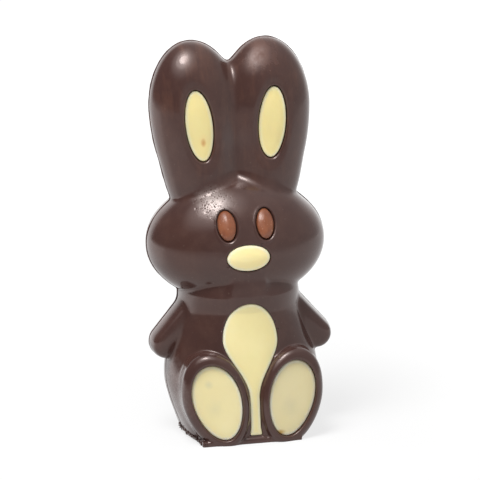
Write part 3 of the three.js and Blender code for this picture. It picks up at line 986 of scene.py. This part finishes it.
def dark_chocolate(settings):
    material, tree, shader, position = new_material("Tempered Dark Chocolate")

    def patches(scale, coverage):
        return effect(tree, "Soft Patches", position, scale=scale, coverage=coverage)

    def specks(scale, size):
        return effect(tree, "Specks", position, scale=scale, size=size)

    sheen = patches(scale=45.0, coverage=0.45)
    smears = patches(scale=190.0, coverage=0.42)
    ears_only, brow, ear_tip, wall = (spot(tree, position, *place) for place in WORN_AND_PAINTED_LIGHT.values())
    streaks = math_node(tree, "MULTIPLY", effect(tree, "Streaks", position), ears_only)
    pitted = math_node(tree, "MULTIPLY", brow, specks(scale=1300.0, size=0.5))
    # The brow's spot, less its burst bubbles, takes a painted highlight: the softbox's glare as near-white colour
    painted_brow_highlight = math_node(tree, "SUBTRACT", brow, math_node(tree, "MULTIPLY", pitted, 0.8), clamp=True)
    # Side wall: paler specks of powder on an even pale tint, which is a painted sheen
    powder_and_painted_sheen = math_node(tree, "MULTIPLY_ADD", specks(scale=1600.0, size=0.8), 0.35, 0.45)

    sheen_share = math_node(tree, "MULTIPLY", sheen, 0.5)
    colour = mixed(tree, sheen_share, settings.dark_colour, settings.dark_warm_colour)
    for mask, strength, tint in (
        (specks(scale=420.0, size=0.16), 0.14, DUST),
        (smears, 0.22, SMEAR),
        (specks(scale=1500.0, size=0.16), 0.22, GRIT),
        (streaks, 0.4, WIPED),
        # painted highlight on the brow
        (math_node(tree, "POWER", painted_brow_highlight, 2.0), 1.0, BROW_PAINTED_HIGHLIGHT),
        (ear_tip, 0.25, RUBBED),
        # powder specks and painted sheen on the side wall
        (math_node(tree, "MULTIPLY", wall, powder_and_painted_sheen), 0.4, POWDER_AND_PAINTED_SHEEN),
    ):
        colour = tinted(tree, colour, mask, strength, tint)

    rough = math_node(tree, "MULTIPLY_ADD", sheen, 0.07, settings.dark_roughness)
    for mask, more in ((smears, 0.05), (brow, 0.14), (streaks, 0.1), (ear_tip, 0.4), (wall, 0.14)):
        rough = math_node(tree, "MULTIPLY_ADD", mask, more, rough)
    set_sockets(tree, shader, {
        "Base Color": colour,
        "Roughness": rough,
        "Specular IOR Level": 0.6,
        "Specular Tint": (1.0, 0.85, 0.81),
    })
    skin = effect(tree, "Mould Skin", position, ripple_scale=70.0, peel_scale=1100.0, peel_share=0.05)
    height = math_node(tree, "SUBTRACT", skin, math_node(tree, "MULTIPLY", pitted, 0.5))
    bump(tree, shader, height, distance=0.00016)
    return material


def white_chocolate(settings, name, tone, marks=()):
    material, tree, shader, position = new_material(name)
    # The tone gives lit and shaded copies: painted light on the nose, painted shade on the left pad
    base, rim, deep = (
        tuple(share * part for share, part in zip(colour, tone))
        for colour in (settings.white_colour, settings.white_rim_sheen_colour, settings.white_deep_colour)
    )
    inward = tree.nodes.new("ShaderNodeAttribute")
    inward.attribute_name = "rim"
    cloud = effect(tree, "Soft Patches", position, scale=80.0, coverage=0.5)
    off_rim = math_node(tree, "MULTIPLY_ADD", cloud, -0.25, inward.outputs["Fac"])
    # The paler colour near each inlay's edge is a painted sheen, standing in for the edge's reflection
    colour = mixed(tree, ramp(tree, off_rim, 0.15, 0.85), rim, base)
    colour = tinted(tree, colour, cloud, 0.6, deep)
    for centre, radii, softness, tint, strength in marks:
        mark = spot(tree, position, centre, radii, softness, MARK_UNEVENNESS)
        colour = tinted(tree, colour, mark, strength, tint)
    set_sockets(tree, shader, {
        "Base Color": colour,
        "Roughness": 0.44,
        "Subsurface Weight": 0.25,
        "Subsurface Radius": (1.0, 0.7, 0.35),
        "Subsurface Scale": 0.0012,
    })
    skin = effect(tree, "Mould Skin", position, ripple_scale=160.0, peel_scale=1500.0, peel_share=0.08)
    bump(tree, shader, skin, distance=0.00012)
    return material


def milk_chocolate(settings):
    material, tree, shader, position = new_material("Milk Chocolate")
    cloud = effect(tree, "Soft Patches", position, scale=260.0, coverage=0.5)
    colour = mixed(tree, cloud, settings.milk_colour, settings.milk_warm_colour)
    specks = effect(tree, "Specks", position, scale=900.0, size=0.3)
    set_sockets(tree, shader, {
        "Base Color": tinted(tree, colour, specks, 0.3, MILK_SPECK),
        "Roughness": 0.3,
        "Subsurface Weight": 0.1,
        "Subsurface Radius": (1.0, 0.5, 0.3),
        "Subsurface Scale": 0.0008,
    })
    skin = effect(tree, "Mould Skin", position, ripple_scale=300.0, peel_scale=1800.0, peel_share=0.2)
    bump(tree, shader, skin, distance=0.00012)
    return material


def floor_material(stage):
    """A table lit from below as well, so that only a faint shadow falls on it. It glows less
    towards the camera, where only the shine shows it, and more behind and at both sides."""
    material, tree, shader, position = new_material("Pale Table")
    x, y, _ = parts_of(tree, position)
    left = math_node(tree, "MULTIPLY", ramp(tree, x, -0.05, -0.16), ramp(tree, y, -0.03, 0.06))
    glow = math_node(tree, "MULTIPLY_ADD", ramp(tree, y, -0.6, -0.06), 0.36, 0.64)
    for mask, more in ((ramp(tree, y, 0.02, 0.5), 0.2), (left, 0.85), (ramp(tree, x, 0.05, 0.2), 0.25)):
        glow = math_node(tree, "MULTIPLY_ADD", mask, more, glow)
    set_sockets(tree, shader, {
        "Base Color": (0.2, 0.2, 0.2),
        "Roughness": 0.6,
        "Specular IOR Level": 0.0,
        "Emission Color": (1.0, 1.0, 1.0),
        "Emission Strength": math_node(tree, "MULTIPLY", glow, stage.floor_glow),
    })
    return material


# Mould flash

def parting_path():
    """The outline of the figure in its parting plane, from the floor around the ears and down."""

    def flat(points):
        return figure(points[:, 0], np.zeros(len(points)), points[:, 1])

    def slope(points):
        ways = np.array([[SLOPE_PROBE, 0.0], [0.0, SLOPE_PROBE]])
        rises = [flat(points + way) - flat(points - way) for way in ways]
        return np.stack(rises, axis=1) / (2 * SLOPE_PROBE)

    path = [np.array(PARTING_LINE["start"])]
    while len(path) < PARTING_LINE["most"]:
        point = path[-1][None, :]
        for _ in range(4):
            push = slope(point)
            point = point - push * (flat(point) / (push**2).sum(axis=1))[:, None]
        push = slope(point)[0]
        path[-1] = point[0]
        if point[0, 0] < 0.0:
            break
        ahead = np.array([-push[1], push[0]]) / np.linalg.norm(push)
        path.append(point[0] + ahead * PARTING_LINE["step"])
    if len(path) < PARTING_LINE["fewest"]:
        raise RuntimeError("The parting line was not found")
    half = np.array([point for point in path if point[0] > PARTING_LINE["clear_of_middle"]])
    return np.concatenate([half, half[::-1] * (-1.0, 1.0)])


def growth_tree(name, numbers):
    """A geometry node group from a path or places to a finished mesh, ready to be filled in."""
    tree = bpy.data.node_groups.new(name, "GeometryNodeTree")
    face = tree.interface
    face.new_socket("Path", in_out="INPUT", socket_type="NodeSocketGeometry")
    for label in numbers:
        face.new_socket(label, in_out="INPUT", socket_type="NodeSocketFloat")
    face.new_socket("Level", in_out="INPUT", socket_type="NodeSocketVector")
    face.new_socket("Seed", in_out="INPUT", socket_type="NodeSocketInt")
    face.new_socket("Finish", in_out="INPUT", socket_type="NodeSocketMaterial")
    face.new_socket("Grown", in_out="OUTPUT", socket_type="NodeSocketGeometry")
    nodes, links = tree.nodes, tree.links
    source, result = nodes.new("NodeGroupInput"), nodes.new("NodeGroupOutput")
    real = nodes.new("GeometryNodeRealizeInstances")
    finish = nodes.new("GeometryNodeSetMaterial")
    x, y, z = parts_of(tree, nodes.new("GeometryNodeInputPosition").outputs[0])
    on_floor = nodes.new("GeometryNodeSetPosition")
    links.new(real.outputs[0], on_floor.inputs["Geometry"])
    links.new(vector_of(tree, x, y, math_node(tree, "MAXIMUM", z, 0.0)), on_floor.inputs["Position"])
    links.new(on_floor.outputs[0], finish.inputs["Geometry"])
    links.new(source.outputs["Finish"], finish.inputs["Material"])
    links.new(finish.outputs[0], result.inputs["Grown"])
    return tree, source, real


def waviness(tree, source):
    """Uneven size along a path, smaller low on the figure."""
    wave = tree.nodes.new("ShaderNodeTexNoise")
    wave.noise_dimensions = "4D"
    set_sockets(tree, wave, {"Scale": source.outputs["Wave Scale"], "W": source.outputs["Seed"], "Detail": 3.0})
    lowest, highest = source.outputs["Lowest"], source.outputs["Highest"]
    size = ramp(tree, wave.outputs["Fac"], 0.3, 0.7, lowest, highest, smooth=False)
    _, _, height = parts_of(tree, tree.nodes.new("GeometryNodeInputPosition").outputs[0])
    rise = ramp(tree, height, 0.025, 0.05, source.outputs["Low Share"], smooth=False)
    return math_node(tree, "MULTIPLY", size, rise)


def fin_tree():
    """Geometry nodes: a thin wavy fin along a line on the surface, rooted in the body."""
    numbers = ("Height", "Root", "Thickness", "Spacing", "Wave Scale", "Lowest", "Highest", "Low Share")
    tree, source, real = growth_tree("Flash Fin", numbers)
    nodes, links, given = tree.nodes, tree.links, source.outputs
    curve = nodes.new("GeometryNodeMeshToCurve")
    links.new(given["Path"], curve.inputs["Mesh"])
    even = nodes.new("GeometryNodeResampleCurve")
    even.mode = "LENGTH"
    set_sockets(tree, even, {"Curve": curve.outputs[0], "Length": given["Spacing"]})
    level = nodes.new("GeometryNodeSetCurveNormal")
    level.mode = "FREE"
    set_sockets(tree, level, {"Curve": even.outputs[0], "Normal": given["Level"]})
    kite = nodes.new("GeometryNodeCurvePrimitiveQuadrilateral")
    kite.mode = "KITE"
    sizes = {"Width": given["Thickness"], "Bottom Height": given["Height"], "Top Height": given["Root"]}
    set_sockets(tree, kite, sizes)
    fin = nodes.new("GeometryNodeCurveToMesh")
    fin.inputs["Fill Caps"].default_value = True
    links.new(level.outputs[0], fin.inputs["Curve"])
    links.new(kite.outputs[0], fin.inputs["Profile Curve"])
    links.new(waviness(tree, source), fin.inputs["Scale"])
    links.new(fin.outputs[0], real.inputs["Geometry"])
    return tree


def chips_tree():
    """Geometry nodes: torn chips of chocolate at given places."""
    tree, source, real = growth_tree("Flash Chips", ("Size",))
    nodes, links, given = tree.nodes, tree.links, source.outputs
    chip = nodes.new("GeometryNodeMeshIcoSphere")
    set_sockets(tree, chip, {"Radius": given["Size"], "Subdivisions": 2})

    def at_random(low, high):
        node = nodes.new("FunctionNodeRandomValue")
        node.data_type = "FLOAT_VECTOR"
        set_sockets(tree, node, {"Min": low, "Max": high, "Seed": given["Seed"]})
        return node.outputs["Value"]

    scatter = nodes.new("GeometryNodeInstanceOnPoints")
    links.new(given["Path"], scatter.inputs["Points"])
    links.new(chip.outputs["Mesh"], scatter.inputs["Instance"])
    links.new(at_random((0.0,) * 3, (math.tau,) * 3), scatter.inputs["Rotation"])
    links.new(at_random(*CHIP_SIZES), scatter.inputs["Scale"])
    links.new(scatter.outputs[0], real.inputs["Geometry"])
    return tree


def grown(context, name, tree, points, edges, **values):
    """Runs a geometry node group once on a path or on places, and keeps its plain mesh."""
    mesh = bpy.data.meshes.new(name)
    mesh.from_pydata(points, edges, [])
    piece = add_object(name, mesh)
    modifier = piece.modifiers.new("growth", "NODES")
    modifier.node_group = tree
    sockets = {item.name: item.identifier for item in tree.interface.items_tree if item.in_out == "INPUT"}
    for key, value in values.items():
        modifier[sockets[title(key)]] = value
    plain = bpy.data.meshes.new_from_object(piece.evaluated_get(context.evaluated_depsgraph_get()))
    piece.modifiers.clear()
    piece.data = plain
    plain.shade_smooth()
    bpy.data.meshes.remove(mesh)
    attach(piece, BODY)
    print(name, "faces", len(plain.polygons))


def base_edge_line(spread, count, seed, lowest=0.6):
    """Places along the torn edge low on the bunny's right side, on the surface."""
    chance = np.random.default_rng(seed)
    knots = np.array(BASE_EDGE)
    t = np.linspace(0.0, len(knots) - 1.001, count)
    i = t.astype(int)
    part = (t - i)[:, None]
    places = knots[i] * (1.0 - part) + knots[i + 1] * part + chance.normal(0.0, spread, (count, 3))
    places = settle(figure, places, steps=6)
    places[:, 2] = np.maximum(places[:, 2], lowest)
    return places


# Settings that a user would change

class BunnyShapeSettings(bpy.types.PropertyGroup):
    facet: FloatProperty(
        name="Facet Size", description="Grid cell from which the dark chocolate body's facets are made",
        default=0.0009, min=0.0003, unit="LENGTH",
    )
    follow: FloatProperty(
        name="Follow", description="How far a facet's edge may lie off the true surface",
        default=0.000012, min=0.000002, precision=6, unit="LENGTH",
    )
    gap: FloatProperty(
        name="Inlay Gap", description="Added to the groove between each inlay and the dark chocolate",
        default=0.00005, min=0.0, precision=5, unit="LENGTH",
    )
    pits: IntProperty(name="Brow Pits", description="Burst air bubbles on the brow", default=64, min=0)
    seed: IntProperty(name="Seed", description="Seed of everything that is scattered", default=7)


class BunnyFlashSettings(bpy.types.PropertyGroup):
    height: FloatProperty(
        name="Fin Height", description="How far the parting line's fin stands out",
        default=0.0003, min=0.0, precision=5, unit="LENGTH",
    )
    thickness: FloatProperty(
        name="Fin Thickness", description="Thickness of the parting line's fin at the surface",
        default=0.0003, min=0.0, precision=5, unit="LENGTH",
    )
    spacing: FloatProperty(
        name="Fin Spacing", description="Distance between the fin's changes of height",
        default=0.0005, min=0.0001, precision=5, unit="LENGTH",
    )
    strip: FloatProperty(
        name="Base Strip", description="How far the torn strip at the base edge stands out",
        default=0.0008, min=0.0, precision=5, unit="LENGTH",
    )
    chip: FloatProperty(
        name="Chip Size", description="Size of the largest flash chips at the base edge",
        default=0.0008, min=0.0, precision=5, unit="LENGTH",
    )


class BunnyFinishSettings(bpy.types.PropertyGroup):
    dark_colour: FloatVectorProperty(
        name="Dark Chocolate", description="Base colour", subtype="COLOR", default=(0.051, 0.024, 0.0205)
    )
    dark_warm_colour: FloatVectorProperty(
        name="Dark Chocolate, Warm", description="Reddish patches", subtype="COLOR", default=(0.064, 0.028, 0.0208)
    )
    dark_roughness: FloatProperty(
        name="Dark Roughness", description="Roughness of the dark chocolate", default=0.115, min=0.0, max=1.0
    )
    white_colour: FloatVectorProperty(
        name="White Chocolate", description="Base colour", subtype="COLOR", default=(0.84, 0.74, 0.4)
    )
    # Paler rim colour: a painted sheen at the inlays' edges
    white_rim_sheen_colour: FloatVectorProperty(
        name="White Chocolate, Rim", description="Paler colour at its edges", subtype="COLOR", default=(0.8, 0.77, 0.6)
    )
    white_deep_colour: FloatVectorProperty(
        name="White Chocolate, Deep", description="Uneven deeper tone", subtype="COLOR", default=(0.8, 0.69, 0.34)
    )
    milk_colour: FloatVectorProperty(
        name="Milk Chocolate", description="Base colour", subtype="COLOR", default=(0.195, 0.062, 0.029)
    )
    milk_warm_colour: FloatVectorProperty(
        name="Milk Chocolate, Warm", description="Lighter tone", subtype="COLOR", default=(0.255, 0.087, 0.039)
    )


class BunnyStageSettings(bpy.types.PropertyGroup):
    azimuth: FloatProperty(
        name="Azimuth", description="Camera's turn around the bunny", subtype="ANGLE", default=math.radians(-12.0)
    )
    elevation: FloatProperty(
        name="Elevation", description="Camera's angle above level", subtype="ANGLE", default=math.radians(12.8)
    )
    roll: FloatProperty(
        name="Roll", description="Camera's turn about its own axis", subtype="ANGLE", default=math.radians(1.3)
    )
    distance: FloatProperty(name="Distance", description="Camera's distance", default=1.3, unit="LENGTH")
    floor_reach: FloatProperty(
        name="Floor Reach", description="How far the pale floor goes each way", default=1.4, unit="LENGTH"
    )
    floor_glow: FloatProperty(name="Floor Glow", description="Light of the table itself", default=0.76, min=0.0)
    core_power: FloatProperty(
        name="Softbox Core", description="Bright middle of the softbox above left", default=1.9, unit="POWER"
    )
    softbox_power: FloatProperty(
        name="Softbox", description="Whole face of the softbox above left", default=1.6, unit="POWER"
    )
    top_power: FloatProperty(
        name="Top Light", description="Softbox's light that only matt surfaces show", default=4.1, unit="POWER"
    )
    room: FloatProperty(name="Room", description="Soft light from all around", default=0.45, min=0.0)
    dark_room: FloatProperty(name="Dark Room", description="Dim room that the shine shows", default=0.13, min=0.0)
    table: FloatProperty(name="Table", description="White table that the shine shows", default=0.75, min=0.0)
    backdrop: FloatProperty(name="Backdrop", description="White backdrop that the shine shows", default=1.7, min=0.0)
    softbox_glow: FloatProperty(name="Softbox Glow", description="Soft edge of the softbox", default=2.1, min=0.0)


# Operators

def settings_of(context):
    scene = context.scene
    return scene.bunny_shape, scene.bunny_flash, scene.bunny_finish, scene.bunny_stage


def material_once(name, maker, *values):
    return bpy.data.materials.get(name) or maker(*values)


class BUNNY_OT_stage(bpy.types.Operator):
    """Sets up the pale floor, the lights and the camera"""

    bl_idname = "bunny.stage"
    bl_label = "Stage"

    def execute(self, context):
        stage = context.scene.bunny_stage
        self.add_floor(stage)
        self.add_light("softbox_core", stage.core_power, **SOFTBOX_CORE)
        self.add_light("softbox", stage.softbox_power, **SOFTBOX)
        self.add_light("soft_top", stage.top_power, **TOP_LIGHT)
        self.add_surroundings(context, stage)
        self.add_camera(context, stage)
        context.scene.view_settings.view_transform = "Standard"
        return {"FINISHED"}

    def add_floor(self, stage):
        reach = stage.floor_reach
        corners = [(-reach, -reach, 0), (reach, -reach, 0), (reach, reach, 0), (-reach, reach, 0)]
        mesh = bpy.data.meshes.new("floor")
        mesh.from_pydata(corners, [], [(0, 1, 2, 3)])
        mesh.materials.append(floor_material(stage))
        add_object("floor", mesh)

    def add_light(self, name, power, place, size, glossy=True):
        light = bpy.data.lights.new(name, "AREA")
        light.shape = "DISK"
        light.size = size
        light.energy = power
        lamp = add_object(name, light)
        lamp.location = place
        lamp.rotation_euler = (Vector(LIGHT_AIM) - Vector(place)).to_track_quat("-Z", "Y").to_euler()
        lamp.visible_glossy = glossy

    def add_surroundings(self, context, stage):
        """Even light for matt surfaces. The shine shows a white table below the horizon, white
        behind the bunny, a dim room in front and a soft glow around the softbox."""
        world = bpy.data.worlds.new("Surroundings")
        context.scene.world = world
        world.use_nodes = True
        tree = world.node_tree
        direction = tree.nodes.new("ShaderNodeTexCoord").outputs["Generated"]
        x, y, z = parts_of(tree, direction)

        to_the_right, overhead = ramp(tree, x, -0.9, 0.6), ramp(tree, z, 0.6, 0.98)
        room = math_node(tree, "MULTIPLY_ADD", to_the_right, 0.52, stage.dark_room)
        room = math_node(tree, "MULTIPLY_ADD", overhead, 0.35, room)
        room = number_mix(tree, ramp(tree, z, -0.02, 0.025), stage.table, room)
        behind_left, behind_right = ramp(tree, y, 0.6, 0.85), ramp(tree, y, 0.25, 0.95)
        behind = number_mix(tree, ramp(tree, x, -0.2, 0.2), behind_left, behind_right)
        room = number_mix(tree, behind, room, stage.backdrop)
        toward = vector_math(tree, "DOT_PRODUCT", direction, Vector(SOFTBOX_DIRECTION).normalized())
        glow = math_node(tree, "MULTIPLY", ramp(tree, toward, 0.82, 0.995), stage.softbox_glow)
        shine = math_node(tree, "ADD", room, glow)

        path = tree.nodes.new("ShaderNodeLightPath")
        sides = stage.room * ROOM_AT_LEFT, stage.room * ROOM_AT_RIGHT
        even = number_mix(tree, ramp(tree, x, -0.7, 0.8), *sides)
        level = number_mix(tree, path.outputs["Is Diffuse Ray"], shine, even)
        level = number_mix(tree, path.outputs["Is Camera Ray"], level, SEEN_BACKGROUND)
        set_sockets(tree, tree.nodes["Background"], {"Color": (1.0, 1.0, 1.0), "Strength": level})

    def add_camera(self, context, stage):
        a, e, r = stage.azimuth, stage.elevation, stage.roll
        back = Vector((math.sin(a) * math.cos(e), -math.cos(a) * math.cos(e), math.sin(e)))
        level_right = Vector((math.cos(a), math.sin(a), 0.0))
        level_up = back.cross(level_right)
        right = math.cos(r) * level_right - math.sin(r) * level_up
        up = math.cos(r) * level_up + math.sin(r) * level_right
        aim = Vector(CAMERA_AIM) + AIM_RIGHT * right + AIM_UP * up
        camera = bpy.data.cameras.new("camera")
        camera.sensor_width = SENSOR_WIDTH
        camera.lens = SENSOR_WIDTH * stage.distance / MM * PIXELS_PER_MM / PICTURE_WIDTH
        camera.clip_end = 10.0
        holder = add_object("camera", camera)
        turn = Matrix((right, up, back)).transposed()
        holder.matrix_world = Matrix.Translation(aim + back * stage.distance) @ turn.to_4x4()
        context.scene.camera = holder


class BUNNY_OT_body(bpy.types.Operator):
    """Moulds the dark chocolate figure with the recesses of its inlays"""

    bl_idname = "bunny.body"
    bl_label = "Dark Chocolate Body"

    def execute(self, context):
        shape, _, finish, _ = settings_of(context)
        pits = brow_pits(shape.pits, shape.seed)

        def solid(x, y, z):
            return body_distance(x, y, z, shape.gap / MM, pits)

        cell, follow = shape.facet / MM, shape.follow / MM
        points, triangles = facets(solid, *BODY_BOX, cell, follow, BODY_SHORTEST_EDGE)
        material = material_once("Tempered Dark Chocolate", dark_chocolate, finish)
        add_piece("bunny_body", points, triangles, material, "dark_chocolate_body")
        print("body triangles", len(triangles))
        return {"FINISHED"}


def add_inlay(node, material, slot):
    """Makes one inlay from its outline and dome, with its nearness to the rim kept at each point."""
    part = INLAYS[node]

    def solid(x, y, z):
        return inlay_distance(part, x, y, z)

    points, triangles = facets(solid, *part["box"], part["cell"], INLAY_FOLLOW, INLAY_SHORTEST_EDGE)
    name = node.replace("_inlay", "") + "_" + slot.split("_")[0]
    piece = add_piece(name, points, triangles, material, node)
    rim = piece.data.attributes.new("rim", "FLOAT", "POINT")
    inside = np.clip(-part["outline"](points[:, 0], points[:, 2]) / INLAY_RIM, 0.0, 1.0)
    rim.data.foreach_set("value", inside.astype(np.float32))
    print(node, "triangles", len(triangles))


def add_white_inlay(context, node):
    name, tone, marks = WHITE_INLAYS[node]
    material = white_chocolate(context.scene.bunny_finish, f"White Chocolate {name}", tone, marks)
    add_inlay(node, material, "white_chocolate")


class BUNNY_OT_nose(bpy.types.Operator):
    """Adds the white chocolate nose"""

    bl_idname = "bunny.nose"
    bl_label = "Nose"

    def execute(self, context):
        add_white_inlay(context, "nose_inlay")
        return {"FINISHED"}


class BUNNY_OT_belly(bpy.types.Operator):
    """Adds the white chocolate belly that runs down between the feet"""

    bl_idname = "bunny.belly"
    bl_label = "Belly"

    def execute(self, context):
        add_white_inlay(context, "belly_inlay")
        return {"FINISHED"}


class BUNNY_OT_ear_inlays(bpy.types.Operator):
    """Adds the white chocolate inlays of both ears"""

    bl_idname = "bunny.ear_inlays"
    bl_label = "Ear Inlays"

    def execute(self, context):
        add_white_inlay(context, "right_ear_inlay")
        add_white_inlay(context, "left_ear_inlay")
        return {"FINISHED"}


class BUNNY_OT_foot_pads(bpy.types.Operator):
    """Adds the white chocolate pads on the soles"""

    bl_idname = "bunny.foot_pads"
    bl_label = "Foot Pads"

    def execute(self, context):
        add_white_inlay(context, "right_foot_pad")
        add_white_inlay(context, "left_foot_pad")
        return {"FINISHED"}


class BUNNY_OT_eyes(bpy.types.Operator):
    """Adds the milk chocolate eyes"""

    bl_idname = "bunny.eyes"
    bl_label = "Eyes"

    def execute(self, context):
        material = milk_chocolate(context.scene.bunny_finish)
        for word in ("left", "right"):
            add_inlay(f"{word}_eye", material, "milk_chocolate")
        return {"FINISHED"}


class BUNNY_OT_flash(bpy.types.Operator):
    """Adds what the mould left: the fin of the parting line and chips at the base edge"""

    bl_idname = "bunny.flash"
    bl_label = "Mould Flash"

    def execute(self, context):
        shape, flash, finish, _ = settings_of(context)
        material = material_once("Tempered Dark Chocolate", dark_chocolate, finish)
        fin = fin_tree()
        upright = Vector((0.0, 1.0, -LEAN)).normalized()
        shared = {"seed": shape.seed, "finish": material}

        def add_fin(name, line, **values):
            steps = [(i, i + 1) for i in range(len(line) - 1)]
            grown(context, name, fin, line, steps, thickness=flash.thickness, **values, **shared)

        line = [leaning(x, 0.0, z) for x, z in parting_path()]
        sizes = {"height": flash.height, "spacing": flash.spacing, **PARTING_FIN}
        add_fin("parting_fin", line, level=upright, **sizes)
        line = [leaning(*place) for place in base_edge_line(spread=0.15, count=24, seed=shape.seed)]
        add_fin("base_strip", line, level=Vector((0.0, 0.0, 1.0)), height=flash.strip, **BASE_STRIP)
        crumbs = base_edge_line(spread=0.5, count=30, seed=shape.seed + 1)
        chips = [leaning(*place) for place in (*crumbs, *CORNER_CHIPS)]
        grown(context, "base_chips", chips_tree(), chips, [], size=flash.chip, **shared)
        return {"FINISHED"}


# Panel and registration

class BUNNY_PT_panel(bpy.types.Panel):
    """Lists the bunny's pieces and settings"""

    bl_idname = "BUNNY_PT_panel"
    bl_label = "Dark Chocolate Bunny"
    bl_space_type = "VIEW_3D"
    bl_region_type = "UI"
    bl_category = "Bunny"

    def draw(self, context):
        for operator in OPERATORS:
            self.layout.operator(operator.bl_idname)
        for settings in settings_of(context):
            box = self.layout.box()
            for name in settings.__annotations__:
                box.prop(settings, name)


SETTINGS = {
    "bunny_shape": BunnyShapeSettings,
    "bunny_flash": BunnyFlashSettings,
    "bunny_finish": BunnyFinishSettings,
    "bunny_stage": BunnyStageSettings,
}
OPERATORS = (
    BUNNY_OT_stage,
    BUNNY_OT_body,
    BUNNY_OT_nose,
    BUNNY_OT_belly,
    BUNNY_OT_ear_inlays,
    BUNNY_OT_foot_pads,
    BUNNY_OT_eyes,
    BUNNY_OT_flash,
)


def register():
    for kind in (*SETTINGS.values(), *OPERATORS, BUNNY_PT_panel):
        bpy.utils.register_class(kind)
    for name, kind in SETTINGS.items():
        setattr(bpy.types.Scene, name, PointerProperty(type=kind))


def unregister():
    for name in SETTINGS:
        delattr(bpy.types.Scene, name)
    for kind in reversed((*SETTINGS.values(), *OPERATORS, BUNNY_PT_panel)):
        bpy.utils.unregister_class(kind)


def main():
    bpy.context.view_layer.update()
    register()
    for operator in OPERATORS:
        area, name = operator.bl_idname.split(".")
        if getattr(getattr(bpy.ops, area), name)() != {"FINISHED"}:
            raise RuntimeError(f"{operator.bl_label} could not finish")


if __name__ == "__main__":
    main()
